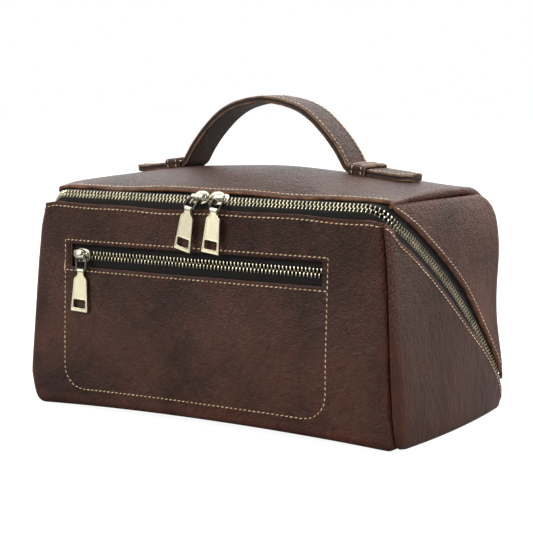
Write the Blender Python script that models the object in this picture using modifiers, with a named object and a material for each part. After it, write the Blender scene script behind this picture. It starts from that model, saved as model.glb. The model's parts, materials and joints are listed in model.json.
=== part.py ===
"""Shaving kit bag in leather: a wedge that unzips along its front and both sides and opens on its back fold.

Metres, +Z up, +X to the right, +Y to the back. The origin is the middle of the base, on the table.
The working lengths below are millimetres; MM turns them into metres where objects are made.
The base holds the front, the bottom and the lower side gussets. The lid holds the top, the back, the
upper side gussets and the carry handle. The zip chain runs between them along a line that starts level
across the front, turns both front corners and falls in a shallow arc to the bottom back corners.
"""

import math

import bmesh
import bpy
from mathutils import Matrix, Vector

MM = 0.001

# Bag body
HALF_WIDTH = 130.0  # outer face of a side gusset at the table
SIDE_LEAN = 0.065  # how far a side leans in, per unit of height
HALF_DEPTH = 68.2
FRONT_LEAN = 3.5 / 126.0
LEATHER = 2.0
LINING = 0.8
GAP = 0.4
FOLD_RADIUS = 8.0  # front bottom fold
CORNER_RADIUS = 20.0  # top back fold
FRONT_TOP = 126.3  # raw edge of the front panel
LID_FRONT_Y = -54.6
LID_EDGE_Z = 136.4
DOME = 11.0  # how far the top is crowned
DOME_CENTRE_Y = 2.0
DOME_REACH_Y = 57.0
DOME_REACH_X = 119.0
TOP_SHARE = 0.72  # part of the top's grid that lies before the back fold
LID_HALF_WIDTH = 118.7

# Side gussets: y and z of the corners that the zip does not cut
GUSSET_HEEL_Z = 9.0  # the front edge stops here and turns under
GUSSET_TOE = 3.0
GUSSET_FOOT_Z = 1.0
GUSSET_FOOT_END_Y = 62.0
GUSSET_BACK_CORNER = (66.5, 6.5)
GUSSET_FRONT_TOP_Z = 118.5
LID_GUSSET_NOSE_Z = 132.0
LID_GUSSET_BACK_Z = 32.0
LID_GUSSET_END = 0.94  # share of the side zip

# Board and linings
BOARD_SIZE = (246.0, 119.0, 1.6)
BOARD_Y = 2.5
LINING_WALL = 3.4  # depth of a lining's outer face under the leather's
LINING_FLOOR_Z = 4.4
LINING_FRONT_TOP_Z = 116.0
LINING_BACK_TOP_Z = 14.0
LINING_BACK_Y = 62.5
LINING_BEHIND_POCKET = 1.2
LID_LINING_FRONT_Y = -50.0
LID_LINING_FRONT_Z = (130.2, 131.0)  # lower and upper edge of the front
LID_LINING_BACK_Z = (46.0, 124.0)
LID_LINING_TOP_SETBACK = 9.0

# Back fold, the hinge of the lid
HINGE_Y = 66.0
HINGE_Z = 3.0
HINGE_RADIUS = 2.2
FOLD_LENGTH = 253.0

# Main zip
ZIP_FRONT_Y = -59.65
ZIP_FRONT_Z = 131.3
ZIP_CORNER_X = 108.0  # where the level run ends
ZIP_SIDE_START = (-51.7, 121.9)  # y, z
ZIP_SIDE_END = (67.1, 18.3)
ZIP_SIDE_SAG = 8.4
ZIP_DEPTH = 2.7  # chain plane under the leather's outer face
BAND_HALF = 7.4  # from the chain to the leather edge
TEETH_INNER = 1.0
TEETH_OUTER = 3.1
TEETH_THICK = 2.4
TAPE_INNER = 3.6
TAPE_OUTER = 12.0
LID_TAPE_OUTER = 10.0
TAPE_THICK = 0.6
TAPE_BEHIND_FRONT = (-61.8, 117.0)  # y, z of the base tape's hidden edge
TAPE_UNDER_TOP = (-46.0, 133.6)  # y, z of the lid tape's hidden edge
BASE_ZIP_END = 0.98  # shares of the side run that each strip covers
LID_TEETH_END = 0.92
LID_TAPE_END = 0.88
CORNER_STEPS = 6
SIDE_STEPS = 12

# Front pocket, in the plane of the front panel
WINDOW = (-97.6, 80.5, 87.5, 101.5)  # left, right, bottom, top
POCKET_ZIP_Z = 94.9
POCKET_TAPE_OUTER = 10.5
POCKET_BAG = (-102.5, 85.0, 14.0, 107.0)
POCKET_DEPTH = 7.0
POCKET_WALL = 0.6
POCKET_TAPE_OVERLAP = 2.4

# Zip sliders
SLIDER_LENGTH = 11.5
SLIDER_HALF_WIDTH = 4.4
PLATE_NEAR = 1.5
PLATE_FAR = 2.7
WEB_HALF = 0.65
LUG_LENGTH = 1.8
LUG_BAR_HEIGHT = 4.7
WIRE_RADIUS = 0.55
LINK_LENGTH = 8.6
LINK_HALF_WIDTH = 3.4
LINK_CORNER = 1.2
PULLER_LENGTH = 25.2
PULLER_THICK = 1.5
PULLER_NECK = 2.3  # half widths of the tab, downwards
PULLER_SHOULDER = 4.85
PULLER_FOOT = 6.45
PULLER_WINDOW_HALF = 4.6
PULLER_WINDOW_LOW = 2.2
PULLER_WINDOW_HIGH = 7.4
LUG_HALF_WIDTH = 2.9
LUG_INNER_HALF = 1.9
LUG_ROOF = 1.1  # over the middle of the bar
HANG = (0.0, -0.56, -0.828)  # the way the links of the main zip fall
LEFT_SLIDER = {"centre_x": -3.2, "crown_shift": -2.2, "tilt": -14.0}
RIGHT_SLIDER = {"centre_x": 9.5, "crown_shift": 2.2, "tilt": -8.0}
POCKET_SLIDER = {"centre_x": -88.8, "crown_shift": 1.2, "tilt": -2.5}
BARREL_RADIUS = 1.4
BARREL_BORE = 0.9
BARREL_HALF = 2.4

# Carry handle
STRAP_WIDTH = 25.0
STRAP_THICK = 4.2
STRAP_Y = 12.0
TAB_INNER_X = 59.0
TAB_OUTER_X = 99.0
TAB_Z = 148.3  # middle of the strap where it leaves the keeper
TAB_SLOPE = 0.114
TAB_CHAMFER = 6.0
CROWN_HALF = 33.5
CROWN_END_Z = 180.2
CROWN_TOP_Z = 189.6
KEEPER_X = 66.3
KEEPER_WIDTH = 10.5
KEEPER_THICK = 1.7
KEEPER_FOOT = -2.9  # under the middle of the strap
KEEPER_CHAMFER = 1.0


# ---------------------------------------------------------------- scene helpers


def clear_scene():
    for obj in list(bpy.data.objects):
        bpy.data.objects.remove(obj, do_unlink=True)


def make_collection(name):
    collection = bpy.data.collections.new(name)
    bpy.context.scene.collection.children.link(collection)
    return collection


def make_material(name, color, roughness, metallic=0.0):
    material = bpy.data.materials.new(name)
    material.use_nodes = True
    shader = material.node_tree.nodes["Principled BSDF"]
    shader.inputs["Base Color"].default_value = (*color, 1.0)
    shader.inputs["Roughness"].default_value = roughness
    shader.inputs["Metallic"].default_value = metallic
    material.diffuse_color = (*color, 1.0)
    return material


def in_metres(matrix):
    """The same placement with its translation turned from millimetres into metres."""
    scaled = matrix.copy()
    scaled.translation = matrix.translation * MM
    return scaled


def place(obj, matrix, parent, collection):
    """Puts obj at matrix (world, millimetres) and hangs it on parent without moving it."""
    collection.objects.link(obj)
    obj.matrix_basis = in_metres(matrix)
    if parent is not None:
        obj.parent = parent
        obj.matrix_parent_inverse = Matrix.Translation(parent["world_mm"]).inverted()
        obj.matrix_parent_inverse.translation *= MM
    return obj


def make_pivot(name, location, parent=None):
    """An empty on a joint's axis."""
    pivot = bpy.data.objects.new(name, None)
    pivot.empty_display_size = 0.01
    pivot["world_mm"] = tuple(location)
    return place(pivot, Matrix.Translation(location), parent, PARTS)


def finish_mesh(name, bm, matrix, material, parent, collection=None):
    """Turns a bmesh in millimetres, given in matrix's own frame, into an object."""
    bmesh.ops.scale(bm, vec=(MM, MM, MM), verts=bm.verts)
    mesh = bpy.data.meshes.new(name)
    bm.to_mesh(mesh)
    bm.free()
    if material is not None:
        mesh.materials.append(material)
    return place(bpy.data.objects.new(name, mesh), matrix, parent, collection or PARTS)


def solidify(obj, thickness, offset=0.0, even=False):
    modifier = obj.modifiers.new("thickness", "SOLIDIFY")
    modifier.thickness = thickness * MM
    modifier.offset = offset
    modifier.use_even_offset = even
    return obj


def smooth(obj):
    obj.data.shade_smooth()
    obj.data.set_sharp_from_angle(angle=math.radians(40))
    return obj


def frame_of(origin, x_axis, y_axis):
    """A placement whose local X and Y run along the two given world directions."""
    x_axis = Vector(x_axis).normalized()
    y_axis = Vector(y_axis).normalized()
    z_axis = x_axis.cross(y_axis)
    matrix = Matrix((x_axis, y_axis, z_axis)).transposed().to_4x4()
    matrix.translation = origin
    return matrix


# ---------------------------------------------------------------- shape helpers


def make_sheet(name, surface, steps, thickness, material, parent, origin=(0, 0, 0)):
    """A skin of even thickness about surface(u, v), with u and v from 0 to 1."""
    bm = bmesh.new()
    bmesh.ops.create_grid(bm, x_segments=steps[0], y_segments=steps[1], size=0.5)
    origin = Vector(origin)
    for vert in bm.verts:
        vert.co = Vector(surface(vert.co.x + 0.5, vert.co.y + 0.5)) - origin
    bmesh.ops.recalc_face_normals(bm, faces=bm.faces)
    obj = finish_mesh(name, bm, Matrix.Translation(origin), material, parent)
    return smooth(solidify(obj, thickness))


def make_open_box(name, corner, open_sides, thickness, material, parent):
    """A tray: corner(sx, sy, sz) gives the outer corners, and open_sides the directions with no wall."""
    bm = bmesh.new()
    bmesh.ops.create_cube(bm, size=2.0)
    bmesh.ops.recalc_face_normals(bm, faces=bm.faces)
    gone = [
        face
        for face in bm.faces
        if any(face.normal.dot(Vector(side)) > 0.9 for side in open_sides)
    ]
    bmesh.ops.delete(bm, geom=gone, context="FACES")
    for vert in bm.verts:
        vert.co = Vector(corner(*vert.co))
    obj = finish_mesh(name, bm, Matrix.Identity(4), material, parent)
    return solidify(obj, thickness, offset=-1.0, even=True)


def outline_curve(name, outlines, thickness, matrix, collection):
    """A flat outline, with its holes, given the thickness evenly to both sides of its plane."""
    curve = bpy.data.curves.new(name, "CURVE")
    curve.dimensions = "2D"
    curve.fill_mode = "BOTH"
    curve.extrude = thickness * MM / 2
    for outline in outlines:
        spline = curve.splines.new("POLY")
        spline.points.add(len(outline) - 1)
        for point, (x, y) in zip(spline.points, outline):
            point.co = (x * MM, y * MM, 0.0, 1.0)
        spline.use_cyclic_u = True
    return place(bpy.data.objects.new(name, curve), matrix, None, collection)


def make_plate(name, outlines, thickness, matrix, material, parent):
    obj = as_mesh(outline_curve(name, outlines, thickness, matrix, PARTS))
    obj.data.materials.append(material)
    if parent is not None:
        obj.parent = parent
        obj.matrix_parent_inverse = Matrix.Translation(Vector(parent["world_mm"]) * -MM)
    return obj


def as_mesh(curve_obj):
    """The curve as a mesh object with its caps welded, so that it can be cut, joined or bevelled."""
    bpy.context.view_layer.update()
    graph = bpy.context.evaluated_depsgraph_get()
    mesh = bpy.data.meshes.new_from_object(curve_obj.evaluated_get(graph))
    bm = bmesh.new()
    bm.from_mesh(mesh)
    bmesh.ops.remove_doubles(bm, verts=bm.verts, dist=2e-6)
    bmesh.ops.recalc_face_normals(bm, faces=bm.faces)
    bm.to_mesh(mesh)
    bm.free()
    name = curve_obj.name
    solid = bpy.data.objects.new(name, mesh)
    solid.matrix_basis = curve_obj.matrix_basis
    curve_obj.users_collection[0].objects.link(solid)
    bpy.data.objects.remove(curve_obj, do_unlink=True)
    solid.name = name
    return solid


def boolean(obj, other, operation):
    """Joins or cuts obj with a helper that is left out of the model."""
    other.hide_render = True
    other.display_type = "WIRE"
    modifier = obj.modifiers.new(operation.lower(), "BOOLEAN")
    modifier.operation = operation
    modifier.solver = "EXACT"
    modifier.object = other


def helper_cylinder(name, radius, length, matrix, sides=16):
    """A helper cylinder along the local X axis of matrix."""
    bm = bmesh.new()
    bmesh.ops.create_cone(
        bm, cap_ends=True, segments=sides, radius1=radius, radius2=radius, depth=length
    )
    bmesh.ops.rotate(bm, verts=bm.verts, matrix=Matrix.Rotation(math.pi / 2, 3, "Y"))
    return finish_mesh(name, bm, matrix, None, None, HELPERS)


def arc(centre, radius, start, end, steps):
    """Points on an arc of a circle, angles in degrees."""
    points = []
    for i in range(steps + 1):
        angle = math.radians(start + (end - start) * i / steps)
        x = centre[0] + radius * math.cos(angle)
        points.append((x, centre[1] + radius * math.sin(angle)))
    return points


def rounded_rectangle(left, right, bottom, top, radius, steps=3):
    return (
        arc((right - radius, bottom + radius), radius, -90, 0, steps)
        + arc((right - radius, top - radius), radius, 0, 90, steps)
        + arc((left + radius, top - radius), radius, 90, 180, steps)
        + arc((left + radius, bottom + radius), radius, 180, 270, steps)
    )


# ---------------------------------------------------------------- the bag's faces


def side_x(z, depth=0.0):
    """Distance of a side from the middle, at a height and at a depth under its outer face."""
    return HALF_WIDTH - SIDE_LEAN * z - depth


def front_y(z, depth=0.0):
    return -HALF_DEPTH + FRONT_LEAN * z + depth


def front_plane(depth=0.0):
    """Placement of the front panel: local X to the right, local Y up the panel, local Z out of it."""
    return frame_of((0, -HALF_DEPTH + depth, 0), (1, 0, 0), (0, FRONT_LEAN, 1))


def side_plane(side, depth):
    """Placement of a side gusset: local X to the back, local Y up."""
    x_at_table = side * (HALF_WIDTH - depth)
    return frame_of((x_at_table, 0, 0), (0, 1, 0), (-side * SIDE_LEAN, 0, 1))


def side_zip(t, across=0.0):
    """(y, z) of the zip on a side: t from 0 at the front to 1 at the back, across towards the lid."""
    start, end = Vector(ZIP_SIDE_START), Vector(ZIP_SIDE_END)
    chord = end - start
    bulge = Vector((-chord.y, chord.x)).normalized()
    centre = start + chord * t + bulge * (4 * ZIP_SIDE_SAG * t * (1 - t))
    heading = (chord + bulge * (4 * ZIP_SIDE_SAG * (1 - 2 * t))).normalized()
    return centre + Vector((-heading.y, heading.x)) * across


def side_zip_across(t):
    step = side_zip(t, 1.0) - side_zip(t)
    return Vector((0, step.x, step.y))


def zip_station(s):
    """(point, across, corner share) on the right half of the main zip.

    s runs 0 to 1 along the front, 1 to 2 round the corner and 2 to 3 down the side. Across points from
    the base to the lid in the plane of the tape.
    """
    level = Vector((0, 1, 1)).normalized()
    corner_start = Vector((ZIP_CORNER_X, ZIP_FRONT_Y, ZIP_FRONT_Z))
    if s <= 1:
        return Vector((ZIP_CORNER_X * s, ZIP_FRONT_Y, ZIP_FRONT_Z)), level, 0.0
    if s >= 2:
        y, z = side_zip(s - 2)
        return Vector((side_x(z, ZIP_DEPTH), y, z)), side_zip_across(s - 2), 1.0
    y, z = side_zip(0)
    corner_end = Vector((side_x(z, ZIP_DEPTH), y, z))
    heading = side_zip(0.02) - side_zip(0)
    heading = Vector((0, heading.x, heading.y)).normalized()
    reach = (corner_end - corner_start).length * 0.5
    bend = [
        corner_start,
        corner_start + Vector((reach, 0, 0)),
        corner_end - heading * reach,
        corner_end,
    ]
    t = s - 1
    weights = ((1 - t) ** 3, 3 * t * (1 - t) ** 2, 3 * t * t * (1 - t), t**3)
    point = sum((p * w for p, w in zip(bend, weights)), Vector())
    return point, level.lerp(side_zip_across(0), t).normalized(), t


def zip_run(side_end=1.0):
    """Stations from the left end of the main zip to its right end, each (point, across, corner share)."""
    right = [zip_station(s) for s in (0.0, 1.0)]
    right += [zip_station(1 + i / CORNER_STEPS) for i in range(1, CORNER_STEPS + 1)]
    right += [zip_station(2 + side_end * i / SIDE_STEPS) for i in range(1, SIDE_STEPS + 1)]
    mirror = Vector((-1, 1, 1))
    left = [(point * mirror, across, share) for point, across, share in right[:0:-1]]
    return left + right


def make_ribbon(name, stations, columns, thickness, material, parent):
    """A skin along the zip: columns(point, across, share) gives its points from one edge to the other."""
    rows = [columns(*station) for station in stations]
    last = len(rows) - 1
    width = len(rows[0]) - 1

    def surface(u, v):
        return rows[round(u * last)][round(v * width)]

    return make_sheet(name, surface, (last, width), thickness, material, parent)


# ---------------------------------------------------------------- base


def make_front_panel():
    bottom = FOLD_RADIUS + GAP
    outline = [
        (-side_x(bottom, 0.2), bottom),
        (side_x(bottom, 0.2), bottom),
        (side_x(FRONT_TOP, 0.2), FRONT_TOP),
        (-side_x(FRONT_TOP, 0.2), FRONT_TOP),
    ]
    window = rounded_rectangle(*WINDOW, radius=1.0)
    make_plate("front_panel", [outline, window], LEATHER, front_plane(LEATHER / 2), LEATHER_SKIN, None)


def make_bottom_panel():
    fold = (-HALF_DEPTH + FOLD_RADIUS + 0.2, FOLD_RADIUS)
    back = HINGE_Y - HINGE_RADIUS - GAP
    outline = arc(fold, FOLD_RADIUS, 180, 270, 6)
    outline += [(back, 0.0), (back, LEATHER)]
    outline += arc(fold, FOLD_RADIUS - LEATHER, 270, 180, 6)
    length = 2 * (HALF_WIDTH - LEATHER - 1.0)
    plane = frame_of((0, 0, 0), (0, 1, 0), (0, 0, 1))
    make_plate("bottom_panel", [outline], length, plane, LEATHER_SKIN, None)


def make_back_fold():
    """The strip of leather that bends when the lid opens, rolled about the hinge axis."""
    matrix = Matrix.Translation((0, HINGE_Y, HINGE_Z))
    bm = bmesh.new()
    bmesh.ops.create_cone(
        bm, cap_ends=True, segments=16, radius1=HINGE_RADIUS, radius2=HINGE_RADIUS, depth=FOLD_LENGTH
    )
    bmesh.ops.rotate(bm, verts=bm.verts, matrix=Matrix.Rotation(math.pi / 2, 3, "Y"))
    smooth(finish_mesh("back_fold", bm, matrix, LEATHER_SKIN, None))


def make_base_gusset(side):
    name = "base_gusset_right" if side > 0 else "base_gusset_left"
    edge = [tuple(side_zip(i / SIDE_STEPS, -BAND_HALF)) for i in range(SIDE_STEPS + 1)]
    front = LEATHER + GAP
    heel = front_y(GUSSET_HEEL_Z, front)
    outline = [(heel, GUSSET_HEEL_Z), (heel + GUSSET_TOE, GUSSET_FOOT_Z)]
    outline += [(GUSSET_FOOT_END_Y, GUSSET_FOOT_Z), GUSSET_BACK_CORNER]
    outline += edge[::-1]
    outline += [(front_y(GUSSET_FRONT_TOP_Z, front), GUSSET_FRONT_TOP_Z)]
    make_plate(name, [outline], LEATHER, side_plane(side, LEATHER / 2), LEATHER_SKIN, None)


def make_base_board():
    bm = bmesh.new()
    bmesh.ops.create_cube(bm, size=1.0)
    bmesh.ops.scale(bm, vec=BOARD_SIZE, verts=bm.verts)
    matrix = Matrix.Translation((0, BOARD_Y, LEATHER + GAP + BOARD_SIZE[2] / 2))
    finish_mesh("base_board", bm, matrix, BOARD, None)


def make_base_lining():
    behind_pocket = LEATHER + POCKET_DEPTH + LINING_BEHIND_POCKET

    def corner(sx, sy, sz):
        top = LINING_FRONT_TOP_Z if sy < 0 else LINING_BACK_TOP_Z
        z = LINING_FLOOR_Z if sz < 0 else top
        y = front_y(z, behind_pocket) if sy < 0 else LINING_BACK_Y
        return sx * side_x(z, LINING_WALL), y, z

    make_open_box("base_lining", corner, [(0, 0, 1), (0, 1, 0)], LINING, LINING_CLOTH, None)


def make_main_tape_base():
    def columns(point, across, share):
        mirror = math.copysign(1.0, point.x)
        behind_front = Vector((point.x, *TAPE_BEHIND_FRONT))
        low = point - (across if share == 1 else side_zip_across(0)) * TAPE_OUTER
        behind_side = Vector((mirror * side_x(low.z, ZIP_DEPTH), low.y, low.z))
        return [point - across * TAPE_INNER, behind_front.lerp(behind_side, share**2)]

    make_ribbon("main_tape_base", zip_run(BASE_ZIP_END), columns, TAPE_THICK, TAPE_CLOTH, None)


def make_teeth(name, inner, outer, side_end, parent):
    def columns(point, across, share):
        return [point + across * inner, point + across * outer]

    make_ribbon(name, zip_run(side_end), columns, TEETH_THICK, TEETH_METAL, parent)


# ---------------------------------------------------------------- front pocket


def make_pocket_lining():
    left, right, bottom, top = POCKET_BAG
    near = LEATHER + GAP

    def corner(sx, sy, sz):
        z = top if sz > 0 else bottom
        depth = near if sy < 0 else near + POCKET_DEPTH
        return (right if sx > 0 else left), front_y(z, depth), z

    make_open_box("pocket_lining", corner, [(0, -1, 0)], POCKET_WALL, LINING_CLOTH, None)


def pocket_strip(name, low, high, thickness, material, ends):
    """A level strip in the chain plane of the pocket zip, from one height to another."""
    outline = [(ends[0], low), (ends[1], low), (ends[1], high), (ends[0], high)]
    make_plate(name, [outline], thickness, front_plane(ZIP_DEPTH), material, None)


def make_pocket_zip():
    z = POCKET_ZIP_Z
    inside = (WINDOW[0] + GAP, WINDOW[1] - GAP)
    behind = (WINDOW[0] - POCKET_TAPE_OVERLAP, WINDOW[1] + POCKET_TAPE_OVERLAP)
    for name, sign in (("upper", 1), ("lower", -1)):
        teeth = sorted((z + sign * TEETH_INNER, z + sign * TEETH_OUTER))
        pocket_strip(f"pocket_teeth_{name}", *teeth, TEETH_THICK, TEETH_METAL, inside)
        tape = sorted((z + sign * TAPE_INNER, z + sign * POCKET_TAPE_OUTER))
        pocket_strip(f"pocket_tape_{name}", *tape, TAPE_THICK, TAPE_CLOTH, behind)


# ---------------------------------------------------------------- sliders and pullers


def make_slider_body(name, centre, across, normal, crown_shift, pivot):
    """Two plates joined by the divider that runs between the chain's halves, and the lug on top."""
    half = SLIDER_HALF_WIDTH
    edge_near = PLATE_NEAR + 0.3  # the plates thin towards their long edges
    quarter = [(half, PLATE_FAR), (half, edge_near), (WEB_HALF, PLATE_NEAR)]
    section = [(x, -y) for x, y in quarter] + [(x, y) for x, y in quarter[::-1]]
    section += [(-x, y) for x, y in quarter] + [(-x, -y) for x, y in quarter[::-1]]
    body = make_plate(name, [section], SLIDER_LENGTH, frame_of(centre, across, normal), SLIDER_METAL, pivot)
    wide, inner = LUG_HALF_WIDTH, LUG_INNER_HALF
    roof = LUG_BAR_HEIGHT + LUG_ROOF
    foot = PLATE_NEAR + 0.6
    lug = [(-wide, foot)]
    lug += arc((0, roof - inner), wide, 180, 0, 8)
    lug += [(wide, foot), (inner, foot), (inner, roof - 1.2)]
    lug += [(inner - 1.0, roof), (1.0 - inner, roof), (-inner, roof - 1.2), (-inner, foot)]
    at_crown = frame_of(centre + Vector((crown_shift, 0, 0)), across, normal)
    boolean(body, as_mesh(outline_curve(name + "_lug", [lug], LUG_LENGTH, at_crown, HELPERS)), "UNION")


def make_link(name, frame, pivot):
    """A wire loop from the lug (local origin) down to the puller's barrel."""
    curve = bpy.data.curves.new(name, "CURVE")
    curve.dimensions = "3D"
    curve.bevel_depth = WIRE_RADIUS * MM
    curve.bevel_resolution = 2
    loop = rounded_rectangle(-LINK_HALF_WIDTH, LINK_HALF_WIDTH, -LINK_LENGTH, 0.0, LINK_CORNER)
    spline = curve.splines.new("POLY")
    spline.points.add(len(loop) - 1)
    for point, (x, y) in zip(spline.points, loop):
        point.co = (x * MM, y * MM, 0.0, 1.0)
    spline.use_cyclic_u = True
    curve.materials.append(LINK_METAL)
    place(bpy.data.objects.new(name, curve), frame, pivot, PARTS)


def make_puller(name, frame, pivot):
    """A flat tab that widens downwards, with a window near its end and a barrel for the link."""
    half_outline = [(PULLER_NECK, 0.6), (PULLER_NECK, -2.6), (PULLER_SHOULDER, -5.2)]
    half_outline += [(PULLER_FOOT, -PULLER_LENGTH + 0.8), (PULLER_FOOT - 0.8, -PULLER_LENGTH)]
    outline = half_outline + [(-x, y) for x, y in half_outline[::-1]]
    low, high = PULLER_WINDOW_LOW - PULLER_LENGTH, PULLER_WINDOW_HIGH - PULLER_LENGTH
    window = rounded_rectangle(-PULLER_WINDOW_HALF, PULLER_WINDOW_HALF, low, high, 1.0)
    body = make_plate(name, [outline, window], PULLER_THICK, frame, PULLER_METAL, pivot)
    barrel = helper_cylinder(name + "_barrel", BARREL_RADIUS, 2 * BARREL_HALF, frame)
    boolean(body, barrel, "UNION")
    bore = helper_cylinder(name + "_bore", BARREL_BORE, 2 * BARREL_HALF + 2.0, frame, sides=12)
    boolean(body, bore, "DIFFERENCE")


def link_frame(bar, hang, tilt):
    """Placement of a link: local X along its bars, local Y up it. It tilts in its own plane, degrees."""
    up = -Vector(hang).normalized()
    angle = math.radians(tilt)
    right = Vector((1, 0, 0))
    up_tilted = up * math.cos(angle) - right * math.sin(angle)
    right_tilted = right * math.cos(angle) + up * math.sin(angle)
    return frame_of(bar, right_tilted, up_tilted)


def make_slider_set(side_name, centre_x, crown_shift, tilt):
    """A slider, its link and its puller. A positive tilt swings the puller's end to the right."""
    if side_name == "pocket":
        across = Vector((0, FRONT_LEAN, 1)).normalized()
        normal = Vector((0, -1, FRONT_LEAN)).normalized()
        centre = Vector((centre_x, front_y(POCKET_ZIP_Z, ZIP_DEPTH), POCKET_ZIP_Z))
        hang = -across
    else:
        across = Vector((0, 1, 1)).normalized()
        normal = Vector((0, -1, 1)).normalized()
        centre = Vector((centre_x, ZIP_FRONT_Y, ZIP_FRONT_Z))
        hang = Vector(HANG)
    slider_pivot = make_pivot(f"{side_name}_slider_pivot", centre)
    make_slider_body(f"{side_name}_slider", centre, across, normal, crown_shift, slider_pivot)
    bar = centre + Vector((crown_shift, 0, 0)) + normal * LUG_BAR_HEIGHT - across * 0.7
    frame = link_frame(bar, hang, tilt)
    link_pivot = make_pivot(f"{side_name}_link_pivot", bar, slider_pivot)
    make_link(f"{side_name}_link", frame, link_pivot)
    low_bar = bar - frame.to_3x3().col[1] * LINK_LENGTH
    right = frame.to_3x3().col[0]
    up = Vector((0, 0, 1)) if side_name != "pocket" else across
    up = (up - right * up.dot(right)).normalized()
    puller_pivot = make_pivot(f"{side_name}_puller_pivot", low_bar, link_pivot)
    make_puller(f"{side_name}_puller", frame_of(low_bar, right, up), puller_pivot)


# ---------------------------------------------------------------- lid


def dome_at(x, y):
    """How far the top stands above the lid's edge."""
    along = 1 - (x / DOME_REACH_X) ** 2
    return DOME * along * (1 - ((y - DOME_CENTRE_Y) / DOME_REACH_Y) ** 2)


def make_top_panel(parent, origin):
    """The crowned top with the rounded fold down to the back."""
    fold_y = HALF_DEPTH - CORNER_RADIUS
    middle = LEATHER / 2

    def surface(u, v):
        x = (2 * v - 1) * LID_HALF_WIDTH
        if u <= TOP_SHARE:
            y = LID_FRONT_Y + (fold_y - LID_FRONT_Y) * u / TOP_SHARE
            return x, y, LID_EDGE_Z - middle + dome_at(x, y)
        angle = (u - TOP_SHARE) / (1 - TOP_SHARE) * math.pi / 2
        radius = CORNER_RADIUS - middle
        y = fold_y + radius * math.sin(angle)
        z = LID_EDGE_Z - CORNER_RADIUS + (radius + dome_at(x, fold_y)) * math.cos(angle)
        return x, y, z

    make_sheet("top_panel", surface, (14, 12), LEATHER, LEATHER_SKIN, parent, origin)


def make_back_panel(parent):
    bottom = HINGE_Z + HINGE_RADIUS + 0.6
    top = LID_EDGE_Z - CORNER_RADIUS - 2 * GAP
    inside = LEATHER + GAP
    outline = [
        (-side_x(bottom, inside), bottom),
        (side_x(bottom, inside), bottom),
        (side_x(top, inside), top),
        (-side_x(top, inside), top),
    ]
    plane = frame_of((0, HALF_DEPTH - LEATHER / 2, 0), (1, 0, 0), (0, 0, 1))
    make_plate("back_panel", [outline], LEATHER, plane, LEATHER_SKIN, parent)


def make_lid_gusset(side, parent):
    name = "lid_gusset_right" if side > 0 else "lid_gusset_left"
    last = SIDE_STEPS
    edge = [tuple(side_zip(LID_GUSSET_END * i / last, BAND_HALF)) for i in range(last + 1)]
    top = LID_EDGE_Z - GAP
    back = HALF_DEPTH - 0.2
    outline = [(LID_FRONT_Y + GAP, top), (LID_FRONT_Y + GAP, LID_GUSSET_NOSE_Z)]
    outline += edge
    outline += [(back, LID_GUSSET_BACK_Z)]
    outline += arc((back - CORNER_RADIUS, top - CORNER_RADIUS), CORNER_RADIUS, 0, 90, 6)
    make_plate(name, [outline], LEATHER, side_plane(side, LEATHER / 2), LEATHER_SKIN, parent)


def make_lid_lining(parent):
    back = HALF_DEPTH - LEATHER - GAP
    back_top = back - LID_LINING_TOP_SETBACK

    def corner(sx, sy, sz):
        z = (LID_LINING_FRONT_Z if sy < 0 else LID_LINING_BACK_Z)[sz > 0]
        x = sx * side_x(z, LINING_WALL)
        if sy < 0:
            return x, LID_LINING_FRONT_Y, z
        return x, (back_top if sz > 0 else back), z

    make_open_box("lid_lining", corner, [(0, 0, -1), (0, -1, 0)], LINING, LINING_CLOTH, parent)


def make_main_tape_lid(parent):
    def columns(point, across, share):
        mirror = math.copysign(1.0, point.x)
        under_top = Vector((point.x, *TAPE_UNDER_TOP))
        high = point + (across if share == 1 else side_zip_across(0)) * LID_TAPE_OUTER
        high.z = min(high.z, under_top.z)
        behind_side = Vector((mirror * side_x(high.z, ZIP_DEPTH), high.y, high.z))
        return [point + across * TAPE_INNER, under_top.lerp(behind_side, share**2)]

    make_ribbon("main_tape_lid", zip_run(LID_TAPE_END), columns, TAPE_THICK, TAPE_CLOTH, parent)


# ---------------------------------------------------------------- handle


def tab_z(x):
    """Height of the strap's middle where it lies on the top, falling outwards."""
    return TAB_Z - TAB_SLOPE * (abs(x) - TAB_INNER_X)


def tab_plane(side, x):
    """Placement on the lying strap: local X outwards along it, local Y across it."""
    return frame_of((side * x, STRAP_Y, tab_z(x)), (side, 0, -TAB_SLOPE), (0, side, 0))


def make_tab(side, parent):
    name = "handle_tab_right" if side > 0 else "handle_tab_left"
    half = STRAP_WIDTH / 2
    length = TAB_OUTER_X - TAB_INNER_X
    outline = [
        (0.0, -half),
        (length - TAB_CHAMFER, -half),
        (length, -half + TAB_CHAMFER),
        (length, half - TAB_CHAMFER),
        (length - TAB_CHAMFER, half),
        (0.0, half),
    ]
    make_plate(name, [outline], STRAP_THICK, tab_plane(side, TAB_INNER_X), LEATHER_SKIN, parent)


def make_strap(name, path, steps, parent, origin):
    """A stretch of the strap about the line path(t) in the plane across the bag."""

    def surface(u, v):
        x, z = path(u)
        return x, STRAP_Y + (v - 0.5) * STRAP_WIDTH, z

    make_sheet(name, surface, (steps, 2), STRAP_THICK, LEATHER_SKIN, parent, origin)


def make_leg(side, parent, origin):
    """The stretch that rises from the keeper to the crown."""
    name = "handle_leg_right" if side > 0 else "handle_leg_left"
    foot = Vector((TAB_INNER_X - 1.5, TAB_Z))
    turn = foot + Vector((-6.0, 0.6))
    head = Vector((CROWN_HALF + 0.8, CROWN_END_Z - 0.5))
    lead = head + Vector((9.0, -6.0))

    def path(t):
        weights = ((1 - t) ** 3, 3 * t * (1 - t) ** 2, 3 * t * t * (1 - t), t**3)
        spot = sum((p * w for p, w in zip((foot, turn, lead, head), weights)), Vector((0, 0)))
        return side * spot.x, spot.y

    make_strap(name, path, 8, parent, origin)


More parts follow.
